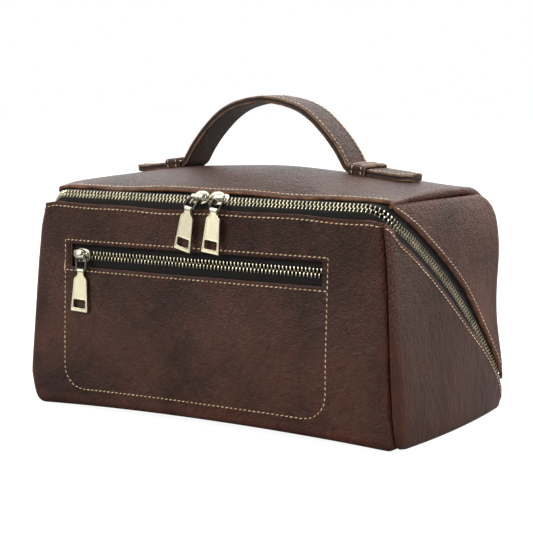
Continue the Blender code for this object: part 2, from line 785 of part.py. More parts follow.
def make_crown(parent, origin):
    rise = CROWN_TOP_Z - CROWN_END_Z

    def path(t):
        x = (2 * t - 1) * CROWN_HALF
        return x, CROWN_TOP_Z - rise * (x / CROWN_HALF) ** 2

    make_strap("handle_crown", path, 10, parent, origin)


def make_keeper(side, parent):
    """A loop of leather over the strap, its two feet stitched to the top."""
    name = "keeper_right" if side > 0 else "keeper_left"
    inner_half = STRAP_WIDTH / 2 + GAP
    outer_half = inner_half + KEEPER_THICK
    roof = STRAP_THICK / 2 + GAP
    outline = [
        (-outer_half, KEEPER_FOOT),
        (-inner_half, KEEPER_FOOT),
        (-inner_half, roof),
        (inner_half, roof),
        (inner_half, KEEPER_FOOT),
        (outer_half, KEEPER_FOOT),
        (outer_half, roof + KEEPER_THICK - KEEPER_CHAMFER),
        (outer_half - KEEPER_CHAMFER, roof + KEEPER_THICK),
        (-outer_half + KEEPER_CHAMFER, roof + KEEPER_THICK),
        (-outer_half, roof + KEEPER_THICK - KEEPER_CHAMFER),
    ]
    centre = (side * KEEPER_X, STRAP_Y, tab_z(KEEPER_X))
    plane = frame_of(centre, (0, 1, 0), (side * TAB_SLOPE, 0, 1))
    make_plate(name, [outline], KEEPER_WIDTH, plane, LEATHER_SKIN, parent)


# ---------------------------------------------------------------- assembly


def make_base():
    make_front_panel()
    make_bottom_panel()
    make_back_fold()
    make_base_board()
    make_base_lining()
    make_main_tape_base()
    make_teeth("main_teeth_base", -TEETH_INNER, -TEETH_OUTER, BASE_ZIP_END, None)
    make_pocket_lining()
    make_pocket_zip()
    for side in (-1, 1):
        make_base_gusset(side)


def make_lid():
    hinge = Vector((0, HINGE_Y, HINGE_Z))
    lid = make_pivot("lid_pivot", hinge)
    make_top_panel(lid, hinge)
    make_back_panel(lid)
    make_lid_lining(lid)
    make_main_tape_lid(lid)
    make_teeth("main_teeth_lid", TEETH_INNER, TEETH_OUTER, LID_TEETH_END, lid)
    rest = Vector((0, STRAP_Y, CROWN_END_Z))
    handle = make_pivot("handle_pivot", rest, lid)
    make_crown(handle, rest)
    for side in (-1, 1):
        make_lid_gusset(side, lid)
        make_tab(side, lid)
        make_leg(side, lid, hinge)
        make_keeper(side, lid)


def make_sliders():
    make_slider_set("left", **LEFT_SLIDER)
    make_slider_set("right", **RIGHT_SLIDER)
    make_slider_set("pocket", **POCKET_SLIDER)


clear_scene()
PARTS = make_collection("shaving_kit_bag")
HELPERS = make_collection("helpers")
LEATHER_SKIN = make_material("brown_leather", (0.075, 0.032, 0.026), 0.42)
LINING_CLOTH = make_material("lining_cloth", (0.05, 0.045, 0.045), 0.85)
TAPE_CLOTH = make_material("zip_tape", (0.012, 0.012, 0.013), 0.8)
BOARD = make_material("base_board", (0.25, 0.21, 0.16), 0.9)
TEETH_METAL = make_material("pale_brass", (0.62, 0.55, 0.36), 0.3, 1.0)
SLIDER_METAL = make_material("antique_brass", (0.55, 0.5, 0.34), 0.35, 1.0)
LINK_METAL = make_material("dark_nickel", (0.25, 0.24, 0.22), 0.3, 1.0)
PULLER_METAL = make_material("brushed_brass", (0.63, 0.57, 0.4), 0.32, 1.0)
make_base()
make_lid()
make_sliders()
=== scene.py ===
import json
import math

import bmesh
import bpy
import numpy as np
from mathutils import Matrix, Vector

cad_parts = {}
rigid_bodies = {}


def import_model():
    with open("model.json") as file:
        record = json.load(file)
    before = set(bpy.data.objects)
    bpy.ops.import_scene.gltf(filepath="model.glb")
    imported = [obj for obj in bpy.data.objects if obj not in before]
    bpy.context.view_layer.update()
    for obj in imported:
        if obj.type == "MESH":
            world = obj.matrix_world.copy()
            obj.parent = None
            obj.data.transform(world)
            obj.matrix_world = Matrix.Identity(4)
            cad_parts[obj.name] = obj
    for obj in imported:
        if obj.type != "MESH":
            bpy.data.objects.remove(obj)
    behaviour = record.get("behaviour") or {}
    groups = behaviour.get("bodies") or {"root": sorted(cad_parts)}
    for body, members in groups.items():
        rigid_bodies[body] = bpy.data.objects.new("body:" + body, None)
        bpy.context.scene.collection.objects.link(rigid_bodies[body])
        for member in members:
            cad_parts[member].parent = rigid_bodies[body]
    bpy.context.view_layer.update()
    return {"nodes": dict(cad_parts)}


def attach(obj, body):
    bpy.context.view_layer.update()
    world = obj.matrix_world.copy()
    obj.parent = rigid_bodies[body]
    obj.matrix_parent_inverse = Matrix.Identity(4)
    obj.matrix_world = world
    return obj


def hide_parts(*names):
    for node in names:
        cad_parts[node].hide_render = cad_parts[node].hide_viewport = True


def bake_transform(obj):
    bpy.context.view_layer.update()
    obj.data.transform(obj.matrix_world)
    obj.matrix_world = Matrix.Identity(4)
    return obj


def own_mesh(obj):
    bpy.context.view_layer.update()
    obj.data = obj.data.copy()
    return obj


# Working lengths are millimetres in the row frame; they become metres where a mesh is made.

for leftover in [o for o in bpy.data.objects if o.name in ("Cube", "Light", "Camera")]:
    bpy.data.objects.remove(leftover, do_unlink=True)
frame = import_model()
SCENE = bpy.context.scene
MM = 0.001

# The bag body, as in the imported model
HALF_DEPTH = 68.2
FRONT_LEAN = 3.5 / 126.0
FRONT_TOP = 126.3
LID_FRONT_Y = -54.6
LID_EDGE_Z = 136.4
CORNER_RADIUS = 20.0
ZIP_FRONT = (-59.65, 131.3)
ZIP_CORNER_X = 103.0  # the slack chain starts its turn a little before the stiff corner
ZIP_SIDE_FROM = 0.04
ZIP_SIDE_START = np.array((-51.7, 121.9))
ZIP_SIDE_END = np.array((67.1, 18.3))
ZIP_SIDE_SAG = 8.4
ZIP_DEPTH = 2.7
BAND_HALF = 7.4
WINDOW = (-97.6, 80.5, 87.5, 101.5)
POCKET_ZIP_Z = 94.9
STRAP_Y = 12.0
TAB_INNER_X, TAB_Z, TAB_SLOPE = 59.0, 148.3, 0.114
KEEPER_X, KEEPER_WIDTH, KEEPER_THICK = 66.3, 10.5, 1.7
STRAP_HALF, STRAP_HALF_THICK, STRAP_STITCH_Y = 12.5, 2.1, 10.4
PULLER_LENGTH, LINK_LENGTH = 25.2, 8.6
LUG_HEIGHT, LUG_SETBACK = 4.7, 0.7  # the slider's upper bar, from the middle of the chain

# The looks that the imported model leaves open
SKIN, TAPE_THICK, LINING_THICK = 1.9, 0.55, 0.7
CHAIN_END, LID_CHAIN_END = 3.0, 2.985  # zip stations where the two sides stop
ARCH_RISE, ARCH_REACH = 3.4, 121.0  # the bottom's front edge lifts in the middle
POCKET_SEAM = (-101.9, 84.0, 85.4, 103.9)  # left, right, sill and top of the stitched frame
POCKET_BAG_Z, POCKET_BAG_RADIUS = 26.0, 14.5  # where its lower corners start to turn
RIGHT_SEAM_Z = (8, 18, 40, 62, 84, 105, 122, 126)
RIGHT_SEAM_X = (126.8, 124.7, 122.8, 121.7, 120.5, 118.9, 117.2, 116.8)
LEFT_SEAM_Z = (6, 20, 45, 77, 90, 112, 124)
LEFT_SEAM_X = (128.7, 131.6, 129.5, 126.9, 125.7, 123.3, 120.4)
TOOTH_PITCH = 2.5
STITCH_PITCH = 3.1
STITCH_INSET = 2.5
WORLD_FRONT, WORLD_BACK = 0.09, 2.2  # how bright the studio is before and behind the bag

# ---------------------------------------------------------------- small helpers


def vec(*p):
    return np.array(p, float)


def unit(v):
    return v / max(np.linalg.norm(v), 1e-12)


def lerp(a, b, t):
    return a + (b - a) * t


def smooth(a, b, x):
    t = min(max((x - a) / (b - a), 0.0), 1.0)
    return t * t * (3 - 2 * t)


def hand(side):
    return "right" if side > 0 else "left"


def mirrored(points):
    return np.asarray(points, float) * vec(-1, 1, 1)


def resample(points, count):
    """The polyline's points at count even steps of its length."""
    points = np.asarray(points, float)
    steps = np.r_[0, np.cumsum(np.linalg.norm(np.diff(points, axis=0), axis=1))]
    at = np.linspace(0, steps[-1], count)
    return np.stack([np.interp(at, steps, points[:, k]) for k in range(points.shape[1])], axis=1)


def spline(points, count):
    """A smooth line through the points, by Catmull-Rom."""
    p = np.asarray(points, float)
    p = np.vstack([2 * p[0] - p[1], p, 2 * p[-1] - p[-2]])
    out = []
    for i in range(1, len(p) - 2):
        for t in np.linspace(0, 1, 12, endpoint=False):
            a, b, c, d = p[i - 1 : i + 3]
            bend = (2 * a - 5 * b + 4 * c - d) * t * t
            out.append(0.5 * (2 * b + (c - a) * t + bend + (3 * b - a - 3 * c + d) * t**3))
    out.append(p[-2])
    return resample(out, count)


def new_object(name, mesh, body, *materials):
    for material in materials:
        mesh.materials.append(material)
    mesh.shade_smooth()
    obj = bpy.data.objects.new(name, mesh)
    SCENE.collection.objects.link(obj)
    if body:
        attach(obj, body)
    return obj


def grid(name, rows, body, materials, skip=(), flip=False, wear=None):
    """A sheet over a grid of points. skip holds the (row, column) cells that stay open."""
    rows = np.asarray(rows, float)
    n, m = rows.shape[:2]
    faces = []
    for i in range(n - 1):
        for j in range(m - 1):
            if (i, j) in skip:
                continue
            quad = (i * m + j, i * m + j + 1, (i + 1) * m + j + 1, (i + 1) * m + j)
            faces.append(quad[::-1] if flip else quad)
    mesh = bpy.data.meshes.new(name)
    mesh.from_pydata((rows.reshape(-1, 3) * MM).tolist(), [], faces)
    if wear is not None:
        layer = mesh.attributes.new("wear", "FLOAT", "POINT")
        layer.data.foreach_set("value", np.asarray(wear, np.float32).reshape(-1))
    return new_object(name, mesh, body, *materials)


def thicken(obj, thickness, rim=1, inner=2):
    """Gives a sheet its thickness inwards, with its own material on the cut edges and the back."""
    modifier = obj.modifiers.new("thickness", "SOLIDIFY")
    modifier.thickness = thickness * MM
    modifier.offset = -1.0
    modifier.material_offset_rim = rim
    modifier.material_offset = inner
    return obj


def set_thickness(obj, thickness):
    """Gives a sheet its thickness to both sides alike."""
    modifier = obj.modifiers.new("thickness", "SOLIDIFY")
    modifier.thickness, modifier.offset = thickness * MM, 0.0


def loft_data(rings, start=0):
    """Vertices and faces of a tube with closed ends through the rings."""
    rings = np.asarray(rings, float)
    n, m = rings.shape[:2]
    faces = []
    for i in range(n - 1):
        a, b = start + i * m, start + (i + 1) * m
        faces += [(a + j, a + (j + 1) % m, b + (j + 1) % m, b + j) for j in range(m)]
    faces.append(tuple(start + j for j in range(m))[::-1])
    faces.append(tuple(start + (n - 1) * m + j for j in range(m)))
    return rings.reshape(-1, 3), faces


def closed_mesh(name, verts, faces):
    """A mesh whose faces are turned outwards."""
    mesh = bpy.data.meshes.new(name)
    mesh.from_pydata((verts * MM).tolist(), [], faces)
    bm = bmesh.new()
    bm.from_mesh(mesh)
    bmesh.ops.recalc_face_normals(bm, faces=bm.faces)
    bm.to_mesh(mesh)
    bm.free()
    return mesh


def lofts(name, many, body, *materials):
    """One mesh of many lofted tubes."""
    verts, faces, count = [], [], 0
    for rings in many:
        v, f = loft_data(rings, count)
        verts.append(v)
        faces += f
        count += len(v)
    return new_object(name, closed_mesh(name, np.vstack(verts), faces), body, *materials)


def sharp(obj, degrees=40):
    obj.data.set_sharp_from_angle(angle=math.radians(degrees))
    return obj


# ---------------------------------------------------------------- materials


class Nodes:
    """A short way to write a node material."""

    def __init__(self, name):
        self.material = bpy.data.materials.new(name)
        self.material.use_nodes = True
        self.tree = self.material.node_tree
        self.shader = self.tree.nodes["Principled BSDF"]
        self.coords = self.tree.nodes.new("ShaderNodeTexCoord").outputs["Object"]

    def add(self, kind, inputs=None, **settings):
        node = self.tree.nodes.new("ShaderNode" + kind)
        for key, value in settings.items():
            setattr(node, key, value)
        for key, value in (inputs or {}).items():
            self.set(node.inputs[key], value)
        return node

    def set(self, socket, value):
        if isinstance(value, bpy.types.NodeSocket):
            self.tree.links.new(value, socket)
        else:
            socket.default_value = value

    def scaled(self, x, y=None, z=None):
        y = x if y is None else y
        z = x if z is None else z
        return self.add("Mapping", {"Vector": self.coords, "Scale": (x, y, z)}).outputs[0]

    def noise(self, vector, scale, detail=4.0, rough=0.55, distort=0.0):
        inputs = {"Vector": vector, "Scale": scale, "Detail": detail}
        inputs.update(Roughness=rough, Distortion=distort)
        return self.add("TexNoise", inputs).outputs["Fac"]

    def voronoi(self, vector, scale, feature="F1"):
        out = self.add("TexVoronoi", {"Vector": vector, "Scale": scale}, feature=feature)
        return out.outputs["Distance"]

    def wave(self, vector, scale, distortion=0.0, direction="X", detail=2.0):
        inputs = {"Vector": vector, "Scale": scale, "Distortion": distortion, "Detail": detail}
        return self.add("TexWave", inputs, bands_direction=direction).outputs["Fac"]

    def math(self, operation, a, b=0.0, c=0.0):
        node = self.add("Math", operation=operation)
        for socket, value in zip(node.inputs, (a, b, c)):
            self.set(socket, value)
        return node.outputs[0]

    def remap(self, value, low, high, to_low=0.0, to_high=1.0):
        inputs = {"Value": value, "From Min": low, "From Max": high, "To Min": to_low, "To Max": to_high}
        return self.add("MapRange", inputs).outputs["Result"]

    def mix(self, factor, a, b):
        node = self.add("Mix", data_type="RGBA")
        self.set(node.inputs["Factor"], factor)
        for socket, value in zip((node.inputs[6], node.inputs[7]), (a, b)):
            self.set(socket, (*value, 1.0) if isinstance(value, tuple) and len(value) == 3 else value)
        return node.outputs[2]

    def bump(self, height, strength, distance, normal=None):
        inputs = {"Height": height, "Strength": strength, "Distance": distance}
        if normal is not None:
            inputs["Normal"] = normal
        return self.add("Bump", inputs).outputs[0]

    def attribute(self, name):
        return self.add("Attribute", attribute_name=name).outputs["Fac"]

    def finish(self, **sockets):
        for key, value in sockets.items():
            self.set(self.shader.inputs[key.replace("_", " ")], value)
        return self.material


def leather(name, dark, mid, worn, grain=1.0, roughness=0.38):
    """Pull-up leather: fine pebbles with creases between them, clouded colour, redder where it is rubbed,
    and painted shade darkening its creases and wrinkles.
    """
    n = Nodes(name)
    warp = n.add("VectorMath", operation="MULTIPLY_ADD")
    shift = n.add("TexNoise", {"Vector": n.coords, "Scale": 300.0, "Detail": 2.0})
    n.set(warp.inputs[0], shift.outputs["Color"])
    warp.inputs[1].default_value = (0.0008, 0.0008, 0.0008)
    n.set(warp.inputs[2], n.coords)
    coords = warp.outputs[0]
    pebble = n.voronoi(coords, 900.0 * grain, "SMOOTH_F1")
    crease = n.remap(n.voronoi(coords, 560.0 * grain, "DISTANCE_TO_EDGE"), 0.0, 0.2)
    wrinkles = n.noise(n.scaled(0.5, 1.0, 0.32), 520.0 * grain, 3.0, 0.6, 0.8)
    clouds = n.noise(n.coords, 15.0, 5.0, 0.6, 0.4)
    patches = n.noise(n.coords, 62.0, 3.0, 0.6)
    height = n.math("MULTIPLY_ADD", pebble, -0.6, n.math("MULTIPLY", crease, 0.3))
    height = n.math("MULTIPLY_ADD", wrinkles, 1.6, height)
    up = n.remap(n.add("SeparateXYZ", {"Vector": n.coords}).outputs["Z"], 0.05, 0.15, 0.5, 3.1)
    rise = n.math("MULTIPLY", height, n.math("MULTIPLY", up, n.remap(clouds, 0.3, 0.7, 0.6, 1.0)))
    folds = n.noise(n.scaled(1.0, 1.0, 0.45), 46.0, 3.0, 0.5, 0.6)
    slack = n.noise(n.scaled(1.0, 1.0, 0.6), 170.0, 3.0, 0.6, 0.5)
    normal = n.bump(folds, 0.25, 0.003)
    normal = n.bump(slack, 0.8, 0.0012, normal)
    normal = n.bump(rise, 1.0, 0.0005, normal)
    color = n.mix(n.remap(clouds, 0.38, 0.62), dark, mid)
    color = n.mix(n.math("MULTIPLY", n.remap(patches, 0.45, 0.75), 0.35), color, worn)
    rubbed = n.math("MULTIPLY", n.attribute("wear"), n.remap(patches, 0.25, 0.6, 0.2, 0.75))
    color = n.mix(rubbed, color, worn)
    # Painted shade: the colour is darkened in the creases between the pebbles and in the wrinkles.
    low = n.math("MULTIPLY", n.remap(crease, 0.0, 0.5, 1.0, 0.0), 0.2)
    low = n.math("ADD", low, n.math("MULTIPLY", n.remap(wrinkles, 0.45, 0.3), 0.3))
    color = n.mix(low, color, tuple(c * 0.3 for c in dark))
    gloss = n.remap(clouds, 0.3, 0.7, roughness + 0.07, roughness - 0.03)
    n.finish(Base_Color=color, Roughness=gloss, Normal=normal)
    n.shader.inputs["Specular IOR Level"].default_value = 0.24
    return n.material


def raw_edge(name, light, dark, layers=0.0):
    """The cut edge of the hide, fibrous and orange-brown. layers darkens the middle of a doubled strap."""
    n = Nodes(name)
    fibres = n.noise(n.coords, 1500.0, 4.0, 0.7)
    patches = n.noise(n.coords, 130.0, 3.0)
    value = n.math("MULTIPLY_ADD", patches, 0.7, n.math("MULTIPLY", fibres, 0.5))
    if layers:
        value = n.math("SUBTRACT", value, n.math("MULTIPLY", n.attribute("core"), layers))
    color = n.mix(n.remap(value, 0.44, 0.74), dark, light)
    return n.finish(Base_Color=color, Roughness=0.78, Normal=n.bump(fibres, 0.6, 0.0004))


def thread():
    n = Nodes("thread_tan")
    twist = n.wave(n.scaled(1.0), 900.0, 3.0, "DIAGONAL")
    tone = n.noise(n.coords, 90.0, 2.0)
    color = n.mix(n.remap(tone, 0.38, 0.62), (0.66, 0.39, 0.19), (0.88, 0.67, 0.43))
    color = n.mix(n.math("MULTIPLY", twist, 0.22), color, (0.25, 0.12, 0.05))
    return n.finish(Base_Color=color, Roughness=0.6, Normal=n.bump(twist, 0.4, 0.0002), Sheen_Weight=0.3)


def woven(name, dark, light, count, roughness=0.85, sheen=0.25, slub=0.0):
    """Plain weave: two crossed sets of threads in space, with a slight fuzz."""
    n = Nodes(name)
    warp = n.wave(n.coords, count, slub, "DIAGONAL")
    weft = n.wave(n.scaled(-1.0, 1.0, 1.0), count, slub, "DIAGONAL")
    checks = n.math("MULTIPLY", warp, weft)
    fuzz = n.noise(n.coords, 3000.0, 2.0)
    tone = n.math("MULTIPLY_ADD", fuzz, 0.5, n.math("MULTIPLY", checks, 0.7))
    color = n.mix(tone, dark, light)
    normal = n.bump(tone, 0.7, 0.0003)
    n.finish(Base_Color=color, Roughness=roughness, Normal=normal)
    n.shader.inputs["Sheen Weight"].default_value = sheen
    n.shader.inputs["Specular IOR Level"].default_value = 0.2
    return n.material


def metal(name, bright, dull, roughness, brush=None, stain=0.5):
    """Plated zinc with a brushed grain and dark patina in its hollows."""
    n = Nodes(name)
    grain = n.noise(n.scaled(*(brush or (1.0, 1.0, 1.0))), 900.0, 5.0, 0.7)
    patina = n.noise(n.coords, 210.0, 4.0, 0.6)
    aged = n.math("MULTIPLY", n.remap(patina, 0.45, 0.75), stain)
    color = n.mix(aged, bright, dull)
    color = n.mix(n.math("MULTIPLY", grain, 0.42), color, dull)
    rough = n.remap(grain, 0.25, 0.75, roughness - 0.08, roughness + 0.1)
    return n.finish(Base_Color=color, Metallic=1.0, Roughness=rough, Normal=n.bump(grain, 0.12, 0.0001))


def board():
    n = Nodes("grey_board")
    pulp = n.noise(n.coords, 420.0, 5.0, 0.7)
    color = n.mix(pulp, (0.16, 0.13, 0.10), (0.34, 0.29, 0.22))
    return n.finish(Base_Color=color, Roughness=0.9, Normal=n.bump(pulp, 0.3, 0.0003))


DARK, MID, WORN = (0.026, 0.0098, 0.0062), (0.070, 0.0270, 0.0162), (0.105, 0.0310, 0.0185)
HIDE = leather("pull_up_leather", DARK, MID, WORN)
# A lighter copy of the leather for the lid's side panels: a painted highlight standing in for the sheen that
# lights the upper sides.
LID_SIDE_PAINTED_LIT_HIDE = leather("lid_side_leather_painted_lit", (0.042, 0.0172, 0.0115), (0.098, 0.0395, 0.0250), WORN)
# A darker copy of the leather and of its wear colour for the base's side panels: painted shade on the lower
# sides.
BASE_SIDE_WORN_IN_PAINTED_SHADE = (0.080, 0.0235, 0.0135)
BASE_SIDE_PAINTED_SHADE_HIDE = leather(
    "base_side_leather_painted_shade", (0.028, 0.0102, 0.0062), (0.050, 0.0186, 0.0108), BASE_SIDE_WORN_IN_PAINTED_SHADE
)
STRAP_HIDE = leather("strap_leather", (0.038, 0.0175, 0.0112), (0.068, 0.031, 0.020), WORN, 1.15, 0.42)
EDGE = raw_edge("cut_edge", (0.32, 0.140, 0.066), (0.045, 0.016, 0.009))
STRAP_EDGE = raw_edge("strap_cut_edge", (0.30, 0.170, 0.085), (0.028, 0.015, 0.009), 0.4)
SUEDE = woven("flesh_side", (0.060, 0.033, 0.022), (0.12, 0.07, 0.045), 500.0, 0.95, 0.4)
THREAD = thread()
TAPE = woven("zip_tape_weave", (0.004, 0.0037, 0.0037), (0.020, 0.018, 0.017), 420.0, 0.85, 0.05)
LINING = woven("lining_weave", (0.018, 0.015, 0.014), (0.050, 0.042, 0.038), 260.0, 0.75, 0.3, 0.4)
BRASS = metal("pale_antique_brass", (0.80, 0.74, 0.55), (0.12, 0.10, 0.06), 0.28, None, 0.7)
CAST = metal("slider_brass", (0.74, 0.70, 0.56), (0.14, 0.12, 0.08), 0.2, None, 0.7)
NICKEL = metal("dark_nickel", (0.17, 0.16, 0.15), (0.02, 0.02, 0.02), 0.16)
PLATE = metal("brushed_plate", (0.93, 0.88, 0.66), (0.55, 0.49, 0.30), 0.3, (1.0, 1.0, 0.04), 0.35)
BOARD = board()

# ---------------------------------------------------------------- camera, floor and light


def set_camera():
    data = bpy.data.cameras.new("camera")
    data.lens, data.sensor_width = 103.2, 36.0
    data.shift_x, data.shift_y = 0.0071, 0.0364
    data.clip_start, data.clip_end = 0.05, 20.0
    camera = bpy.data.objects.new("camera", data)
    SCENE.collection.objects.link(camera)
    right, up = Vector((0.8440, 0.5364, 0.0)), Vector((-0.0716, 0.1127, 0.9910))
    back = Vector((0.5316, -0.8364, 0.1335))
    matrix = Matrix((right, up, back)).transposed().to_4x4()
    matrix.translation = Vector((0.5008, -0.7880, 0.2008))
    camera.matrix_world = matrix
    SCENE.camera = camera


def add_light(name, place, target, size, power, tint=(1.0, 1.0, 1.0)):
    data = bpy.data.lights.new(name, "AREA")
    data.shape, data.size, data.size_y = "RECTANGLE", size[0], size[1]
    data.energy, data.color = power, tint
    light = bpy.data.objects.new(name, data)
    light.location = place
    light.rotation_euler = (Vector(target) - Vector(place)).to_track_quat("-Z", "Y").to_euler()
    SCENE.collection.objects.link(light)


def camera_only(tree, lit, seen, direction=None):
    """A strength that is seen to the camera and lit (or a node's value) to everything else."""
    ray = tree.nodes.new("ShaderNodeLightPath").outputs["Is Camera Ray"]
    strength = tree.nodes.new("ShaderNodeMapRange")
    strength.inputs["To Min"].default_value = lit
    strength.inputs["To Max"].default_value = seen
    tree.links.new(ray, strength.inputs["Value"])
    if direction is not None:
        tree.links.new(direction, strength.inputs["To Min"])
    return strength.outputs["Result"]


def set_stage():
    size = 6.0
    mesh = bpy.data.meshes.new("floor")
    corners = [(-size, -size, 0), (size, -size, 0), (size, size, 0), (-size, size, 0)]
    mesh.from_pydata(corners, [], [(0, 1, 2, 3)])
    n = Nodes("pale_floor")
    n.finish(Base_Color=(0.22, 0.22, 0.22, 1.0), Roughness=0.9)
    n.shader.inputs["Emission Color"].default_value = (1.0, 1.0, 1.0, 1.0)
    n.tree.links.new(camera_only(n.tree, 0.03, 0.93), n.shader.inputs["Emission Strength"])
    mesh.materials.append(n.material)
    floor = bpy.data.objects.new("floor", mesh)
    floor.location.z = -0.0006
    SCENE.collection.objects.link(floor)
    world = bpy.data.worlds.new("studio")
    world.use_nodes = True
    tree = world.node_tree
    background = tree.nodes["Background"]
    background.inputs["Color"].default_value = (1.0, 1.0, 1.0, 1.0)
    facing = tree.nodes.new("ShaderNodeVectorMath")
    facing.operation = "DOT_PRODUCT"
    facing.inputs[1].default_value = (-0.35, 0.50, 0.79)
    tree.links.new(tree.nodes.new("ShaderNodeTexCoord").outputs["Generated"], facing.inputs[0])
    glow = tree.nodes.new("ShaderNodeMapRange")
    limits = {"From Min": 0.2, "From Max": 0.95, "To Min": WORLD_FRONT, "To Max": WORLD_BACK}
    for name, value in limits.items():
        glow.inputs[name].default_value = value
    tree.links.new(facing.outputs["Value"], glow.inputs["Value"])
    tree.links.new(camera_only(tree, 0.0, 1.0, glow.outputs["Result"]), background.inputs["Strength"])
    SCENE.world = world
    SCENE.view_settings.view_transform = "Standard"
    add_light("key", (-0.7, -1.5, 1.1), (0.0, 0.0, 0.08), (0.8, 0.8), 17.0)
    add_light("card", (-1.0, -1.5, 0.3), (0.0, -0.06, 0.1), (1.1, 0.8), 5.5, (1.0, 0.97, 0.90))
    add_light("overhead", (0.0, 0.8, 1.3), (0.0, 0.0, 0.1), (1.6, 0.8), 14.0)
    add_light("side", (0.75, 0.3, 0.65), (0.12, 0.0, 0.11), (0.5, 0.5), 7.0)
    add_light("fold", (1.15, -1.1, 0.45), (0.1, -0.05, 0.08), (0.22, 0.9), 4.5)


# ---------------------------------------------------------------- the bag's surfaces


def front_y(z):
    return -HALF_DEPTH + FRONT_LEAN * z


def side_face(y, z):
    """Distance of a side's outer face from the middle, with the soft bulges of the standing bag."""
    x = 130.0 - 0.065 * z
    x += 4.2 * max(0.0, 1 - (y / 74) ** 2) * math.exp(-(abs(z / 48) ** 1.5))
    x += math.exp(-(((z - 28) / 22) ** 2))
    back = smooth(-30, 55, y)
    high = max(0.0, (z - 110) / 25) ** 4
    x += back * (3.8 * math.exp(-(((z - 104) / 26) ** 2)) + 1.4 * smooth(0, 30, z))
    x -= (3.2 + 2.0 * back) * high
    x -= (1 - smooth(-62, -25, y)) * 2.0 * (max(0.0, min(z, 124.0) - 98) / 26) ** 1.5
    return x


def on_side(spot, depth=0.0):
    return vec(side_face(*spot) - depth, spot[0], spot[1])


def side_zip(t, across=0.0):
    """(y, z) of the zip on a side: t from 0 at the front to 1 at the back, across towards the lid."""
    chord = ZIP_SIDE_END - ZIP_SIDE_START
    bulge = unit(vec(-chord[1], chord[0]))
    centre = ZIP_SIDE_START + chord * t + bulge * (4 * ZIP_SIDE_SAG * t * (1 - t))
    heading = unit(chord + bulge * (4 * ZIP_SIDE_SAG * (1 - 2 * t)))
    return centre + vec(-heading[1], heading[0]) * across


def side_across(t):
    return vec(0, *(side_zip(t, 1.0) - side_zip(t)))


def zip_station(s):
    """(point, across) on the right half of the chain.

    s is 0 to 1 on the front, 1 to 2 round the corner and 2 to 3 down the side.
    """
    level = unit(vec(0, 1, 1))
    if s <= 1:
        return vec(ZIP_CORNER_X * s, *ZIP_FRONT), level
    if s >= 2:
        t = lerp(ZIP_SIDE_FROM, 1.0, s - 2)
        return on_side(side_zip(t), ZIP_DEPTH), side_across(t)
    start, end = vec(ZIP_CORNER_X, *ZIP_FRONT), on_side(side_zip(ZIP_SIDE_FROM), ZIP_DEPTH)
    heading = unit(on_side(side_zip(ZIP_SIDE_FROM + 0.02), ZIP_DEPTH) - end)
    reach = np.linalg.norm(end - start) * 0.46
    t = s - 1
    bend = (start, start + vec(reach, 0, 0), end - heading * reach, end)
    weights = ((1 - t) ** 3, 3 * t * (1 - t) ** 2, 3 * t * t * (1 - t), t**3)
    across = unit(lerp(level, side_across(ZIP_SIDE_FROM), smooth(0, 1, t)))
    return sum(p * w for p, w in zip(bend, weights)), across


def zip_half(last, step):
    """Even stations from the middle: points, across, normals and share of the way round the corner."""
    dense = np.r_[np.linspace(0, 1, 40), np.linspace(1, 2, 40)[1:], np.linspace(2, last, 80)[1:]]
    points = np.array([zip_station(s)[0] for s in dense])
    run = np.r_[0, np.cumsum(np.linalg.norm(np.diff(points, axis=0), axis=1))]
    at = np.arange(0.25 * step, run[-1], step)
    stations = [zip_station(s) for s in np.interp(at, run, dense)]
    points, across = np.array([s[0] for s in stations]), np.array([s[1] for s in stations])
    tangent = np.gradient(points, axis=0)
    normal = np.cross(tangent, across)
    normal /= np.linalg.norm(normal, axis=1)[:, None]
    share = np.clip(np.interp(at, run, dense) - 1, 0, 1)
    return points, across, normal, share


def edge_wave(x, phase=0.0):
    return 0.55 * math.sin(x / 23.0 + phase) + 0.35 * math.sin(x / 9.5 + 1.3 + phase * 2)


def roll(at, along, normal, quarter, hook, steps=4):
    """Leather turning into a seam: over the first quarter it falls away, over the second it hooks under.

    quarter is (reach along, drop) and hook is (return, drop) from there.
    """
    out = []
    for i in range(1, steps + 1):
        a = math.pi / 2 * i / steps
        out.append(at + along * quarter[0] * math.sin(a) - normal * quarter[1] * (1 - math.cos(a)))
    for i in range(1, steps + 1):
        a = math.radians(82) * i / steps
        back = along * (quarter[0] - hook[0] * (1 - math.cos(a)))
        out.append(at + back - normal * (quarter[1] + hook[1] * math.sin(a)))
    return out


# ---------------------------------------------------------------- stitches and teeth


STITCH_END = ((0.35, 1, 0.1), (0.8, 0.75, -0.1), (1, 0.2, -0.55))  # along, radius, height
STITCH = tuple((-t, r, h) for t, r, h in STITCH_END[::-1]) + STITCH_END


def stitch_row(name, path, normals, body, pitch=STITCH_PITCH, length=2.3, radius=0.34, lift=0.12, seed=1):
    """Separate stitches along a path, each dipping into the leather at its ends."""
    path, normals = np.asarray(path, float), np.asarray(normals, float)
    steps = np.r_[0, np.cumsum(np.linalg.norm(np.diff(path, axis=0), axis=1))]
    count = max(1, int(steps[-1] / pitch))
    rng = np.random.default_rng(seed)
    many = []
    for i in range(count):
        mid = (i + 0.5) * steps[-1] / count
        half = length / 2 * (1 + rng.uniform(-0.07, 0.07))
        reach = (-half, 0, half)
        spot = [np.array([np.interp(mid + d, steps, path[:, k]) for k in range(3)]) for d in reach]
        normal = unit(np.array([np.interp(mid, steps, normals[:, k]) for k in range(3)]))
        heading = unit(spot[2] - spot[0])
        side = unit(np.cross(normal, heading))
        skew = side * rng.uniform(0.05, 0.16)
        rings = []
        for t, r, h in STITCH:
            rise = normal * (lift + h * radius * 1.6)
            centre = spot[1] + (spot[2] - spot[0]) / 2 * t + skew * t * 1.6 + rise
            ring = []
            for k in range(6):
                a = math.tau * k / 6
                ring.append(centre + (side * math.cos(a) + normal * math.sin(a) * 0.8) * radius * r)
            rings.append(ring)
        many.append(rings)
    obj = lofts(name, many, body, THREAD)
    return obj


